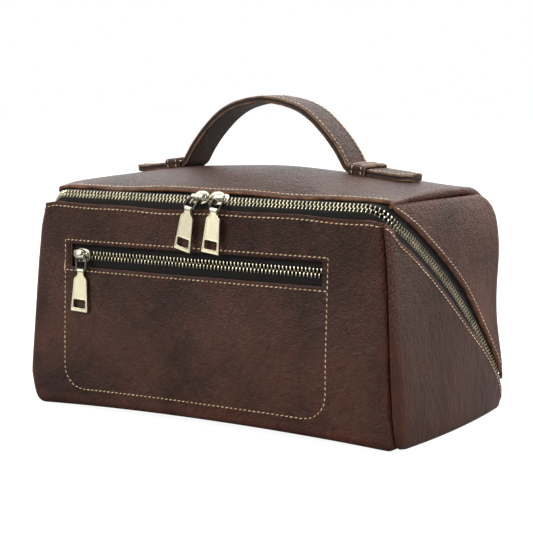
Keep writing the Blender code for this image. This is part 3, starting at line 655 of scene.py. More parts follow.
# (reach from the chain's middle, half width, half height) along one tooth
TOOTH = ((-0.25, 0.26, 0.3), (-0.05, 0.42, 0.7), (0.5, 0.46, 1.1))
TOOTH += ((1.2, 0.36, 1.2), (2.5, 0.4, 1.2), (2.95, 0.3, 0.8))


def tooth(point, across, normal, sign, size=1.0):
    """One zip element: a bar with a rounded head that reaches past the middle of the chain."""
    along = np.cross(across, normal)
    rings = []
    for reach, half, high in TOOTH:
        centre = point + across * reach * sign * size
        c = 0.68
        corners = ((c, 1), (1, c), (1, -c), (c, -1), (-c, -1), (-1, -c), (-1, c), (-c, 1))
        rings.append([centre + along * half * a + normal * high * b for a, b in corners])
    return rings


def main_teeth(name, sign, last, offset, body):
    points, across, normal, _ = zip_half(last, TOOTH_PITCH / 2)
    chosen = range(offset, len(points), 2)
    size = [1 - 0.4 * smooth(45, 0, np.linalg.norm(p - points[-1])) for p in points]
    many = [tooth(points[i], across[i], normal[i], sign, size[i]) for i in chosen]
    flip = vec(-1, 1, 1)
    many += [tooth(points[i] * flip, across[i] * flip, normal[i] * flip, sign, size[i]) for i in chosen]
    return sharp(lofts(name, many, body, BRASS), 50)


def main_tape(name, sign, last, body):
    points, across, _, share = zip_half(last, 4.0)
    reach = 12.0 if sign < 0 else 10.5
    behind_front = vec(-61.7, 117.0) if sign < 0 else vec(-46.0, 133.4)
    rows = []
    for p, a, s in zip(points, across, share):
        far = p + side_across(0) * sign * reach if s < 1 else p + a * sign * reach
        if sign > 0:
            far[2] = min(far[2], behind_front[1])
        far = on_side(far[1:], ZIP_DEPTH + 0.1)
        far = lerp(vec(p[0], *behind_front), far, s**2)
        near = p + a * sign * 3.8
        rows.append([p + a * sign * 1.6, p + a * sign * 2.7, near, lerp(near, far, 0.5), far])
    rows = np.array(rows)
    rows = np.concatenate([mirrored(rows[::-1]), rows])
    obj = grid(name, rows, body, [TAPE])
    set_thickness(obj, TAPE_THICK)
    return obj


# ---------------------------------------------------------------- leather panels


def front_profile():
    """(y, z, normal in the y-z plane, share of the arch) from the bottom's back to the top edge."""
    fold_y, radius = -63.6, 4.5
    ys = (50, 36, 20, 4, -12, -28, -42, -54, fold_y)
    rows = [(y, 0.0, (0.0, -1.0), smooth(30, -60, y)) for y in ys]
    for i in range(1, 7):
        a = math.radians(270 - 90 * i / 6)
        out = (math.cos(a), math.sin(a))
        rows.append((fold_y + radius * out[0], radius + radius * out[1], out, 1 - i / 12))
    zs = [7, 10, 14.5, 19, 25, 32, 40, 48, 56, 64, 72, 79, 84, 85.2, 86.4, 87.5, 91, 95, 98.5, 101.5]
    zs += [102.7, 103.9, 107, 111, 115, 119, 122, FRONT_TOP - STITCH_INSET, FRONT_TOP - 1.2, FRONT_TOP]
    out = (-1.0, FRONT_LEAN)
    rows += [(front_y(z), z, out, 0.5 * (1 - smooth(8, 60, z))) for z in zs]
    return rows


def front_seam_x(y, z, side=1):
    """Where the front's or bottom's edge dives into its seam with the side."""
    table = (RIGHT_SEAM_Z, RIGHT_SEAM_X) if side > 0 else (LEFT_SEAM_Z, LEFT_SEAM_X)
    upright = float(np.interp(z, *table))
    return lerp(upright, side_face(max(y, -60), 6) - 5.2, smooth(9, 0, z))


def front_lift(x, z):
    """How far the front swells: a little over the pocket and again under the top edge."""
    span = max(0.0, 1 - (x / 119) ** 2)
    low = math.exp(-(((z - 50) / 32) ** 2))
    ripple = 0.35 * math.sin(x / 31 + 0.6) * math.sin(z / 27) + 0.25 * math.sin(x / 17 + z / 21)
    return span**0.5 * (0.8 * low + ripple * 0.8)


def make_front():
    left, right, bottom, top = WINDOW
    inner = [left, left + 0.9, *np.linspace(left + 8, right - 8, 30), right - 0.9, right]
    outer = np.array((0.15, 0.35, 0.6, 0.85, 1.0))
    rows, wear, heights = [], [], []
    for y, z, n2, arch in front_profile():
        normal = vec(0, *n2)
        upright = smooth(0, 9, z)
        reach = {1: 4.2, -1: 5.0}
        flat = {side: side * (front_seam_x(y, z, side) - reach[side]) for side in (-1, 1)}
        xs = [lerp(left, flat[-1], k) for k in outer[::-1]] + inner
        xs += [lerp(right, flat[1], k) for k in outer]
        row, worn = [], []
        for x in xs:
            point = vec(x, y, z)
            if z > 8:
                point += normal * front_lift(x, z)
            point[2] += arch * ARCH_RISE * max(0.0, 1 - (x / ARCH_REACH) ** 2)
            if z > 104:
                point[2] += edge_wave(x) * smooth(108, 126, z)
                point[2] -= 1.6 * smooth(108, 119, abs(x)) * smooth(108, 126, z)
            row.append(point)
            worn.append(0.25 * smooth(122, 126.3, z) + (0.5 if 0.5 < z < 9 else 0.0))
        ends = []
        for side, start in ((-1, row[0]), (1, row[-1])):
            drop = lerp(4.0, 6.0 if side > 0 else 4.5, upright)
            ends.append(roll(start, vec(side, 0, 0), normal, (reach[side], drop), (0.0, 0.9), 5)[:7])
        for end in ends:
            for k, point in enumerate(end):
                point[2] -= 3.0 * ((k + 1) / 7) ** 2 * smooth(114, 126.3, z)
        row = ends[0][::-1] + row + ends[1]
        worn = [0.9, 0.9, 0.9, 0.9, 1.0, 0.9, 0.5] + worn + [0.5, 0.9, 1.0, 0.9, 0.9, 0.9, 0.9]
        rows.append(row)
        wear.append(worn)
        heights.append(z)
    first = 7 + len(outer)
    columns = range(first, first + len(inner) - 1)
    skip = {(i, j) for i in range(len(rows) - 1) for j in columns if bottom - 0.1 <= heights[i] < top - 0.1}
    obj = grid("front_and_bottom_leather", rows, "base", [HIDE, EDGE, SUEDE], skip, False, wear)
    thicken(obj, SKIN)
    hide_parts("front_panel", "bottom_panel")


def front_point(x, z):
    """Outer face of the front at x, z, clear of the seams."""
    point = vec(x, front_y(z), z) + vec(0, -1, FRONT_LEAN) * front_lift(x, z)
    point[2] += ARCH_RISE * 0.5 * (1 - smooth(8, 60, z)) * max(0.0, 1 - (x / ARCH_REACH) ** 2)
    return point


def panel(name, edge, seam, body, side, count=56):
    """A side gusset: a sheet lofted from its raw edge to its seam, then rolled into the seam.

    edge holds (y, z) and seam holds (y, z, along y, along z, drop, hook back, hook drop).
    """
    edge, seam = resample(edge, count), resample(seam, count)
    rows, wear = [], []
    for a, b in zip(edge, seam):
        spot = b[:2]
        gap = np.linalg.norm(spot - a)
        inset = [min(d, gap * f) for d, f in ((0, 0), (1.2, 0.2), (STITCH_INSET, 0.4), (4.5, 0.6))]
        flats = [a + (spot - a) * (d / max(gap, 1e-6)) for d in inset]
        flats += [lerp(flats[-1], spot, k) for k in (0.12, 0.26, 0.4, 0.55, 0.7, 0.84, 1.0)]
        row = [on_side(p) for p in flats]
        along2 = b[2:4]
        reach = np.linalg.norm(along2)
        step = unit(along2) * 0.5
        along = unit(on_side(spot + step) - on_side(spot - step))
        slope_y = side_face(spot[0] + 0.5, spot[1]) - side_face(spot[0] - 0.5, spot[1])
        slope_z = side_face(spot[0], spot[1] + 0.5) - side_face(spot[0], spot[1] - 0.5)
        normal = unit(vec(1, -slope_y, -slope_z))
        row += roll(row[-1], along, normal, (reach, b[4]), (b[5], b[6]), 5)
        rows.append(row)
        wear.append([0.3, 0.2] + [0.0] * 7 + [0.1, 0.35, 0.6, 0.8, 0.9, 1.0] + [1.0] * 6)
    rows = np.array(rows)
    rows = rows * vec(side, 1, 1)
    # Painted light: the lid's side panels get the lighter copy of the leather and the base's side panels the
    # darker copy.
    hide = LID_SIDE_PAINTED_LIT_HIDE if body == "lid" else BASE_SIDE_PAINTED_SHADE_HIDE
    obj = grid(name, rows, body, [hide, EDGE, SUEDE], (), (side < 0) == (body == "base"), wear)
    thicken(obj, SKIN)
    return obj, rows


def base_edge():
    """(y, z) of the base gusset's raw edge, from the front seam's roll to the back."""
    lead = [(-57.0, 120.8), (-56.6, 119.0), (-56.1, 117.2)]
    run = [tuple(side_zip(t, -BAND_HALF + 4.8 * smooth(0.5, 1, t))) for t in np.linspace(0.01, 1, 40)]
    return np.array(lead + run + [(66.9, 14.0), (67.4, 11.0), (67.5, 8.0)])


def lid_edge():
    lead = [(-52.9, 133.9), (-51.0, 131.6)]
    run = [side_zip(t, BAND_HALF - 5.2 * smooth(0.5, 1.0, t)) for t in np.linspace(0, 0.995, 42)]
    return np.array(lead + [(min(y, 67.2), z) for y, z in run])


def make_base_gusset(side):
    seam = []
    reach, back = (-7.9, 6.0) if side > 0 else (-3.6, 0.8)
    for z in np.linspace(120.6, 10, 28):
        up = smooth(98, 120.6, z)
        inset = max(1.5, side_face(front_y(z) + 8, z) - front_seam_x(-60, z)) if side > 0 else 4.0
        seam.append((front_y(z) + 8, z, reach, 4.4 * up**2 * reach / -7.9, inset * 0.6, back, inset * 0.4))
    for i in range(1, 7):
        a = math.radians(90 * i / 6)
        t = i / 6
        spot = (front_y(9.4) + 11 - 3 * math.cos(a), 9.4 - 3 * math.sin(a))
        along = ((reach - 1.2 * t) * math.cos(a), -6.0 * math.sin(a))
        seam.append((*spot, *along, lerp(2.6, 4.6, t), lerp(back, 0.0, t), lerp(1.7, 1.0, t)))
    for y in np.linspace(-38, 64.5, 17):
        seam.append((y, 6.4, 0.0, -6.0, 4.6, 0.0, 1.0))
    obj, rows = panel(f"base_side_{hand(side)}", base_edge(), seam, "base", side)
    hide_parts(f"base_gusset_{hand(side)}")
    return rows


def make_lid_gusset(side):
    seam = []
    for y in np.linspace(-52.6, 48, 24):
        k = smooth(-53, -40, y)
        rolled = (lerp(0.8, 3.4, k), lerp(0.6, 2.4, k), lerp(0.8, 4.2, k), 1.3)
        seam.append((y, lerp(133.6, 131.2, k), 0.0, *rolled))
    for i in range(1, 9):
        a = math.radians(90 * i / 8)
        t = i / 8
        reach = lerp(3.4, 6.5, t)
        radius = CORNER_RADIUS - 2.9 - 1.6 * t
        centre = (HALF_DEPTH - CORNER_RADIUS, LID_EDGE_Z - CORNER_RADIUS - 1.9 * (1 - t))
        spot = (centre[0] + radius * math.sin(a) - 2.4 * t, centre[1] + radius * math.cos(a))
        along = (reach * math.sin(a), reach * math.cos(a))
        seam.append((*spot, *along, lerp(2.4, 2.6, t), lerp(4.2, 5.0, t), 1.5))
    last = seam[-1]
    for z in np.linspace(last[1] - 6, 19.5, 15):
        k = smooth(62, 19.5, z)
        rolled = (lerp(6.5, 0.8, k), 0.0, lerp(2.6, 1.2, k), lerp(5.0, 0.4, k), lerp(1.7, 0.8, k))
        seam.append((lerp(last[0], 67.4, k), z, *rolled))
    obj, rows = panel(f"lid_side_{hand(side)}", lid_edge(), seam, "lid", side)
    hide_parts(f"lid_gusset_{hand(side)}")
    return rows


def dome(x, y):
    """Height of the top over its edge: crowned, with the slack of soft leather."""
    slack = 0.5 * math.sin(x / 26 + 0.4) * math.sin((y + 60) / 21) + 0.3 * math.sin(x / 13 + y / 17)
    share = max(0.0, 1 - ((y - 2.0) / 57.0) ** 2)
    return 12.8 * (1 - (x / 128) ** 2) * share + slack * smooth(-54, -40, y)


def lid_front_y(x):
    return LID_FRONT_Y + 3.4 * smooth(98, 121, abs(x))


def top_rows():
    """(kind, value) stations from the front edge, over the back corner and down the back.

    The value is a share of the top's depth, an angle round the corner or a height on the back.
    """
    near = (0.0, 0.012, 0.024, 0.045, 0.08, 0.13)
    rows = [("top", t) for t in (*near, 0.2, 0.28, 0.37, 0.46, 0.55, 0.64, 0.73, 0.82, 0.91)]
    rows += [("turn", a) for a in np.linspace(0, 90, 10)]
    rows += [("back", z) for z in (110, 101, 90, 78, 66, 54, 42, 31, 24, 19)]
    return rows


def top_point(kind, value, x):
    """(point, outward normal) of the top and back at a station."""
    fold_y = HALF_DEPTH - CORNER_RADIUS
    if kind == "top":
        start = lid_front_y(x)
        y = start + (fold_y - start) * value
        wave = edge_wave(x, 2.0) * (1 - smooth(0, 0.12, value))
        droop = 0.8 * smooth(104, 116, abs(x)) * (1 - value)
        return vec(x, y, LID_EDGE_Z + dome(x, y) + wave - droop), vec(0, 0, 1)
    if kind == "turn":
        a = math.radians(value)
        z = LID_EDGE_Z - CORNER_RADIUS + (CORNER_RADIUS + dome(x, fold_y)) * math.cos(a)
        return vec(x, fold_y + CORNER_RADIUS * math.sin(a), z), vec(0, math.sin(a), math.cos(a))
    swell = 1.3 * max(0.0, 1 - (x / 118) ** 2) * math.sin(math.pi * min(1, max(0, value - 19) / 97))
    return vec(x, HALF_DEPTH + swell, value), vec(0, 1, 0)


def top_seam_x(kind, value):
    if kind == "top":
        return 117.4
    if kind == "turn":
        return lerp(117.4, side_face(64, 114) - 5.2, smooth(0, 90, value))
    return side_face(64, value) - 5.2


def make_top():
    rows, wear = [], []
    for kind, value in top_rows():
        seam = top_seam_x(kind, value)
        reach = 4.4 if kind == "top" else 3.6
        flat_to = seam - reach
        xs = np.linspace(-1, 1, 47)
        xs = np.sign(xs) * np.abs(xs) ** 0.92 * flat_to
        row = [top_point(kind, value, x)[0] for x in xs]
        normal = top_point(kind, value, flat_to)[1]
        drop, hook = (max(1.4, row[-1][2] - 136.2), (2.6, 3.4)) if kind == "top" else (3.2, (2.0, 3.0))
        ends = [roll(row[i], vec(s, 0, 0), normal, (reach, drop), hook, 5) for i, s in ((0, -1), (-1, 1))]
        rows.append(ends[0][::-1] + row + ends[1])
        front = 0.3 if kind == "top" and value < 0.03 else (0.35 if kind == "turn" else 0.0)
        end = [1.0] * 6 + [0.9, 0.7, 0.4, 0.2]
        wear.append(end + [front] * len(row) + end[::-1])
    obj = grid("top_and_back_leather", rows, "lid", [HIDE, EDGE, SUEDE], (), False, wear)
    thicken(obj, SKIN)
    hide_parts("top_panel", "back_panel")
    return np.array(rows)


def make_fold():
    """The strip under the back between the lid and the base, a sheet not attached to either."""
    columns = 40
    path = [(48.5, 0.25), (53, 0.2), (58, 0.2), (61.5, 0.25), (64.6, 1.0)]
    path += [(66.9, 2.9), (68.0, 5.6), (68.3, 9), (68.3, 14), (68.3, 20)]
    rows = []
    for y, z in spline(path, 26):
        half = side_face(60, max(z, 3)) - 6.4
        rows.append([vec(x, y + 0.15, z) for x in np.linspace(-half, half, columns)])
    wear = np.full((len(rows), columns), 0.45)
    mesh = grid("back_fold_leather", rows, None, [HIDE, EDGE, SUEDE], (), False, wear)
    bm = bmesh.new()
    bm.from_mesh(mesh.data)
    bmesh.ops.recalc_face_normals(bm, faces=bm.faces)
    bmesh.ops.solidify(bm, geom=bm.faces[:], thickness=SKIN * MM)
    bm.to_mesh(mesh.data)
    bm.free()
    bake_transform(mesh)
    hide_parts("back_fold")


def path_normals(rows, column, side=1):
    """The points of one column of a gusset's grid and their outward normals."""
    path = rows[:, column]
    along = np.gradient(path, axis=0)
    across = rows[:, column + 1] - rows[:, column - 1]
    normal = np.cross(along, across)
    normal *= np.sign(normal[:, :1] * side + 1e-9)
    return path, normal / np.linalg.norm(normal, axis=1)[:, None]


def make_edge_stitches(base_rows, lid_rows, top):
    z = FRONT_TOP - STITCH_INSET
    xs = np.linspace(-116.5, 115.5, 120)
    path = []
    for x in xs:
        p = front_point(x, z)
        p[2] += edge_wave(x) * smooth(108, 126, z) - 1.6 * smooth(108, 119, abs(x)) * smooth(108, 126, z)
        path.append(p)
    stitch_row("stitches_front_edge", path, [vec(0, -1, FRONT_LEAN)] * len(path), "base", seed=3)
    path = top[2, 10:-10]
    normals = [vec(0, -0.25, 1)] * len(path)
    stitch_row("stitches_lid_edge", path, normals, "lid", seed=4)
    for side, rows in base_rows.items():
        line, normals = path_normals(rows, 2, side)
        turn = [vec(side * 118.9, -64.5, 122.0), vec(side * 120.3, -61.6, 120.2)]
        line = np.vstack([turn, line[2:-1]])
        turning = [unit(vec(side * 0.5, -0.87, 0)), unit(vec(side * 0.85, -0.5, 0))]
        normals = np.vstack([turning, normals[2:-1]])
        stitch_row(f"stitches_base_side_{hand(side)}", line, normals, "base", seed=5)
    for side, rows in lid_rows.items():
        line, normals = path_normals(rows, 2, side)
        stitch_row(f"stitches_lid_side_{hand(side)}", line[1:-1], normals[1:-1], "lid", seed=6)


# ---------------------------------------------------------------- front pocket


def arc_points(cx, cz, r, start, end, steps=6):
    angles = np.radians(np.linspace(start, end, steps))
    return [(cx + r * math.cos(a), cz + r * math.sin(a)) for a in angles]


def make_pocket():
    left, right = WINDOW[:2]
    out = [vec(0, -1, FRONT_LEAN)]
    seam_left, seam_right, sill, seam_top = POCKET_SEAM
    turn = (POCKET_BAG_Z, POCKET_BAG_RADIUS)
    corners = arc_points(seam_left + turn[1], *turn, 180, 270)
    corners += arc_points(seam_right - turn[1], *turn, 270, 360)
    foot = POCKET_BAG_Z + 1.0
    outlines = {
        "top": [(seam_left, 86.0), (seam_left, seam_top), (seam_right, seam_top), (seam_right, 86.0)],
        "sill": [(seam_left, sill), (seam_right, sill)],
        "bag": [(seam_left, sill), (seam_left, foot), *corners, (seam_right, foot), (seam_right, sill)],
    }
    for i, (name, outline) in enumerate(outlines.items()):
        legs = [resample(outline[k : k + 2], 12)[:-1] for k in range(len(outline) - 1)]
        path = [front_point(x, z) for x, z in np.vstack([*legs, outline[-1:]])]
        stitch_row(f"stitches_pocket_{name}", path, out * len(path), "base", lift=-0.05, seed=10 + i)
    tack = [front_point(-102.2, z) for z in np.linspace(85.0, 89.5, 8)]
    stitch_row("stitches_pocket_tack", tack, out * 8, "base", pitch=0.75, length=1.9, radius=0.42, seed=20)
    across, normal = unit(vec(0, FRONT_LEAN, 1)), unit(vec(0, -1, FRONT_LEAN))
    y = front_y(POCKET_ZIP_Z) + ZIP_DEPTH
    for sign, name, shift in ((1, "upper", 0.0), (-1, "lower", 0.5)):
        xs = np.arange(left + 1.5 + shift * TOOTH_PITCH, right - 0.6, TOOTH_PITCH)
        many = [tooth(vec(x, y, POCKET_ZIP_Z), across, normal, sign) for x in xs]
        obj = sharp(lofts(f"pocket_zip_teeth_{name}", many, "base", BRASS), 50)
        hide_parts(f"pocket_teeth_{name}")
        rows = []
        drape = ((1.6, 0.0), (2.7, 0.0), (3.6, 0.0), (5.5, 0.15), (7.5, 0.25), (10.4, 0.1))
        for x in np.linspace(left - 2.4, right + 2.4, 70):
            centre, wave = vec(x, y, POCKET_ZIP_Z), 0.12 * math.sin(x / 14)
            rows.append([centre + across * sign * r - normal * (dip + wave) for r, dip in drape])
        obj = grid(f"pocket_zip_tape_{name}", rows, "base", [TAPE])
        set_thickness(obj, TAPE_THICK)
        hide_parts(f"pocket_tape_{name}")


# ---------------------------------------------------------------- linings


def height_at(edge, y):
    order = np.argsort(edge[:, 0])
    return float(np.interp(y, edge[order, 0], edge[order, 1]))


def cross_section(side_x, low, high, radius, floor_to, up):
    """Half of a lining's hoop at one station: down the side, round the corner and along to the middle."""
    sign = 1 if up else -1
    points = [vec(side_x(z), z) for z in np.linspace(low, high - sign * radius, 7)]
    corner_x = side_x(high) - radius
    for a in np.linspace(15, 90, 5):
        r = math.radians(a)
        points.append(vec(corner_x + radius * math.cos(r), high + sign * radius * (math.sin(r) - 1)))
    points += [vec(x, high + floor_to(x)) for x in np.linspace(corner_x * 0.9, 0, 9)]
    return points


def hoop(y, half):
    right = [vec(p[0], y, p[1]) for p in half]
    return [p * vec(-1, 1, 1) for p in right] + right[-2::-1]


def make_linings():
    edge, depth = base_edge(), 3.6
    rows = []
    for y in np.linspace(-57.4, 61, 24):
        top = max(9.5, height_at(edge, y) - 1.5 if y > -55 else 116)
        side = lambda z, y=y: side_face(y, z) - depth - 0.5 * math.sin(y / 9 + z / 13) ** 2
        wrinkle = lambda x, y=y: 0.5 * math.sin(x / 17) * math.sin(y / 11) + 0.4
        rows.append(hoop(y, cross_section(side, top, 5.0, 4.0, wrinkle, False)))
    wall = []
    for z in (5.4, 14, 26, 40, 54, 68, 82, 94, 104, 110, 116, 121.5):
        y = lerp(front_y(z) + 10.6, front_y(z) + 2.6, smooth(105, 121, z))
        half = side_face(-58, z) - 5.0
        wall.append([vec(x, y + 0.4 * math.sin(x / 15 + z / 19), z) for x in np.linspace(-half, half, 40)])
    base = grid("lining_base", rows, "base", [LINING])
    front = grid("lining_base_front", wall, "base", [LINING])
    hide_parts("base_lining")
    edge = lid_edge()
    rows = []
    for y in np.linspace(-50.5, 62, 24):
        low = min(height_at(edge, y) + 1.5, 126.0)
        crown = 131.2 - max(0.0, y - 46) ** 2 * 0.035
        side = lambda z, y=y: side_face(y, z) - depth - 0.4 * math.sin(y / 10 + z / 12) ** 2
        over = lambda x, y=y: dome(x, y) * 0.8
        rows.append(hoop(y, cross_section(side, low, crown, 6.0 if low < 118 else 4.0, over, True)))
    wall = []
    for z in np.linspace(22, 127, 14):
        half = side_face(62, z) - 5.0
        y = 64.6 - max(0.0, z - 112) ** 2 * 0.03
        wall.append([vec(x, y + 0.4 * math.sin(x / 16 + z / 14), z) for x in np.linspace(-half, half, 40)])
    lid = grid("lining_lid", rows, "lid", [LINING])
    back = grid("lining_lid_back", wall, "lid", [LINING])
    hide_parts("lid_lining")
    for obj in (base, front, lid, back):
        set_thickness(obj, LINING_THICK)
    for name, material in (("base_board", BOARD), ("pocket_lining", LINING)):
        node = frame["nodes"][name]
        node.data.materials.clear()
        node.data.materials.append(material)


# ---------------------------------------------------------------- sliders, links and pullers


def frame_of(origin, x_axis, y_axis):
    x_axis, y_axis = unit(np.asarray(x_axis, float)), unit(np.asarray(y_axis, float))
    return np.asarray(origin, float), x_axis, y_axis, np.cross(x_axis, y_axis)


def at(place, x, y, z=0.0):
    origin, ax, ay, az = place
    return origin + ax * x + ay * y + az * z


def plate_rings(place, outline, low, high, bevel):
    """Rings of a flat plate with rounded rims, from an outline in the place's own plane."""
    outline = np.asarray(outline, float)
    before, after = np.roll(outline, 1, axis=0), np.roll(outline, -1, axis=0)
    t = after - before
    inward = np.stack([-t[:, 1], t[:, 0]], axis=1)
    inward /= np.linalg.norm(inward, axis=1)[:, None]
    soft = bevel * 0.3
    levels = ((bevel, low), (soft, low + soft), (0, low + bevel))
    levels += ((0, high - bevel), (soft, high - soft), (bevel, high))
    return [[at(place, x, y, z) for x, y in outline + inward * shrink] for shrink, z in levels]


def rounded(points, radius, steps=4):
    """A closed outline, counter-clockwise, with each corner cut to an arc-like bend."""
    points = [np.array(p, float) for p in points]
    out = []
    for i, p in enumerate(points):
        a, b = points[i - 1], points[(i + 1) % len(points)]
        r = min(radius, np.linalg.norm(a - p) / 2.2, np.linalg.norm(b - p) / 2.2)
        start, end = p + unit(a - p) * r, p + unit(b - p) * r
        for t in np.linspace(0, 1, steps):
            out.append((1 - t) ** 2 * start + 2 * t * (1 - t) * p + t * t * end)
    return np.array(out)


def ball(place, centre, radii, rings=12, sides=20, shape=1.0):
    out = []
    for i in range(1, rings):
        a = math.pi * i / rings
        x, r = -math.cos(a), math.sin(a) ** shape
        ring = []
        for k in range(sides):
            b = math.tau * k / sides
            spot = (x, r * math.cos(b), r * math.sin(b))
            ring.append(at(place, *(c + size * d for c, size, d in zip(centre, radii, spot))))
        out.append(ring)
    return out


def barrel(place, centre, radius, half, bore, sides=20):
    """A tube along local X, with rounded lips and a hole through it."""
    lip = ((-half, bore), (-half, radius - 0.25), (-half + 0.2, radius))
    profile = lip + tuple((-x, r) for x, r in lip[::-1])
    turn = [(math.cos(math.tau * k / sides), math.sin(math.tau * k / sides)) for k in range(sides)]
    cx, cy, cz = centre
    return [[at(place, cx + x, cy + r * c, cz + r * s) for c, s in turn] for x, r in profile]


def closed_band(name, ringed, body, material):
    """A mesh from rings that meet end to end, as a plate with a hole."""
    rings = np.array(ringed)
    n, m = rings.shape[:2]
    faces = []
    for i in range(n):
        a, b = i * m, ((i + 1) % n) * m
        faces += [(a + j, a + (j + 1) % m, b + (j + 1) % m, b + j) for j in range(m)]
    mesh = closed_mesh(name, rings.reshape(-1, 3), faces)
    return sharp(new_object(name, mesh, body, material), 35)


def make_slider(name, place, shift, nose):
    """Shield-shaped plates, a bulbous crown over them and the barrel that carries the link."""
    half = [(5.75, 2.6), (2.4, 4.4), (-3.4, 4.0), (-5.75, 2.9)]
    lower = [(x, -y) for x, y in half]
    shield = rounded(lower[:1] + half + lower[:0:-1], 1.4) * vec(nose, 1)
    if nose < 0:
        shield = shield[::-1]
    parts = []
    for low, high in ((1.5, 2.75), (-2.75, -1.5)):
        parts.append(plate_rings(place, shield, low, high, 0.35))
    parts.append(ball(place, (nose * 0.9, 0.6, 3.5), (4.7, 3.5, 2.9), 14, 24, 0.8))
    parts.append(ball(place, (-nose * 3.0, 0.4, 2.9), (2.4, 2.0, 1.2), 10, 18))
    post = rounded([(0.6, -1.2), (0.6, 1.2), (-0.6, 1.2), (-0.6, -1.2)], 0.4)
    parts.append(plate_rings(place, post, -1.5, 1.5, 0.2))
    body = sharp(lofts(name + "_body", parts, name, CAST), 50)
    bar = (shift, -LUG_SETBACK, LUG_HEIGHT)
    lug = closed_band(name + "_lug", barrel(place, bar, 1.55, 2.55, 0.8), name, CAST)
    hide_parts(name)


def make_wire(name, place, body):
    half, low, r = 3.4, -LINK_LENGTH, 1.05
    right = [(half - 0.5, 0.0), (half + 0.25, -2.6), (half, low + 0.6), (half - 0.4, low)]
    outline = rounded(right + [(-x, y) for x, y in right[::-1]], 1.6, 6)
    outline = resample(np.vstack([outline, outline[:1]]), 73)[:-1]
    tangent = np.roll(outline, -1, axis=0) - np.roll(outline, 1, axis=0)
    side = np.stack([tangent[:, 1], -tangent[:, 0]], axis=1)
    side /= np.linalg.norm(side, axis=1)[:, None]
    rings = []
    for k in range(10):
        a = math.tau * k / 10
        out, rise = r * 0.85 * math.cos(a), r * 1.05 * math.sin(a)
        rings.append([at(place, *(p + s * out), rise) for p, s in zip(outline, side)])
    obj = closed_band(name, rings, body, NICKEL)
    obj.data.shade_smooth()
    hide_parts(body)


def tab_outline(half, radius, steps):
    """A rounded outline from the points of its right half, top to bottom."""
    return rounded([(-x, y) for x, y in half] + half[::-1], radius, steps)


def make_puller(name, place, body):
    neck, shoulder, foot, low = 2.3, 4.85, 6.45, -PULLER_LENGTH
    half = [(neck, 0.9), (neck, -2.6), (shoulder, -5.2), (foot, low)]
    outline = tab_outline(half, 0.55, 4)
    half = [(neck - 0.75, 0.2), (neck - 0.75, -2.9), (shoulder - 0.9, -5.6), (foot - 0.95, low + 1.0)]
    inner = tab_outline(half, 0.8, 5)
    hole = tab_outline([(4.6, low + 7.4), (4.6, low + 2.2)], 1.1, 5)
    frame_hole = tab_outline([(5.3, low + 8.1), (5.3, low + 1.5)], 1.3, 5)
    for part, outside, inside, level, bevel in (
        ("plate", outline, hole, 0.62, 0.12),
        ("rim", outline, inner, 0.82, 0.22),
        ("window_lip", frame_hole, hole, 0.8, 0.2),
    ):
        spec = (place, outside, inside, -level, level, bevel)
        flat_plate(f"{name}_{part}", spec, body, PLATE)
    knuckle = barrel(place, (0, 0, 0), 1.3, 2.4, 0.75)
    closed_band(name + "_knuckle", knuckle, body, PLATE)
    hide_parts(body)


def flat_plate(name, spec, body, material):
    """An extruded outline with a hole and chamfered rims, by a filled flat curve."""
    (origin, ax, ay, az), outline, hole, low, high, bevel = spec
    curve = bpy.data.curves.new(name, "CURVE")
    curve.dimensions, curve.fill_mode = "2D", "BOTH"
    curve.extrude = (high - low) / 2 * MM - bevel * MM
    curve.bevel_depth, curve.bevel_resolution = bevel * MM, 2
    curve.offset = -bevel * MM
    for line in (outline, hole):
        made = curve.splines.new("POLY")
        made.points.add(len(line) - 1)
        for point, (x, y) in zip(made.points, line):
            point.co = (x * MM, y * MM, 0.0, 1.0)
        made.use_cyclic_u = True
    holder = bpy.data.objects.new(name, curve)
    matrix = Matrix((Vector(ax), Vector(ay), Vector(az))).transposed().to_4x4()
    matrix.translation = Vector(origin * MM)
    graph = bpy.context.evaluated_depsgraph_get()
    SCENE.collection.objects.link(holder)
    bpy.context.view_layer.update()
    mesh = bpy.data.meshes.new_from_object(holder.evaluated_get(graph))
    bpy.data.objects.remove(holder)
    mesh.transform(matrix)
    obj = new_object(name, mesh, body, material)
    return sharp(obj, 30)


def link_place(bar, hang, tilt):
    up, right = -unit(hang), vec(1, 0, 0)
    a = math.radians(tilt)
    return frame_of(bar, right * math.cos(a) + up * math.sin(a), up * math.cos(a) - right * math.sin(a))


def make_zip_pull(side_name, centre_x, shift, tilt, nose):
    if side_name == "pocket":
        across, normal = unit(vec(0, FRONT_LEAN, 1)), unit(vec(0, -1, FRONT_LEAN))
        centre = vec(centre_x, front_y(POCKET_ZIP_Z) + ZIP_DEPTH, POCKET_ZIP_Z)
        hang = -across
    else:
        across, normal = unit(vec(0, 1, 1)), unit(vec(0, -1, 1))
        centre = vec(centre_x, *ZIP_FRONT)
        hang = vec(0, -0.56, -0.828)
    place = frame_of(centre, np.cross(across, normal), across)
    make_slider(f"{side_name}_slider", place, shift, nose)
    bar = centre + vec(shift, 0, 0) + normal * LUG_HEIGHT - across * LUG_SETBACK
    link = link_place(bar, hang, tilt)
    make_wire(f"{side_name}_link_wire", link, f"{side_name}_link")
    low_bar = bar - link[2] * LINK_LENGTH
    up = vec(0, 0, 1) if side_name != "pocket" else across
    hung = frame_of(low_bar, link[1], unit(up - link[1] * (up @ link[1])))
    make_puller(f"{side_name}_pull", hung, f"{side_name}_puller")


# ---------------------------------------------------------------- handle


def tab_z(x):
    return TAB_Z - TAB_SLOPE * (abs(x) - TAB_INNER_X)


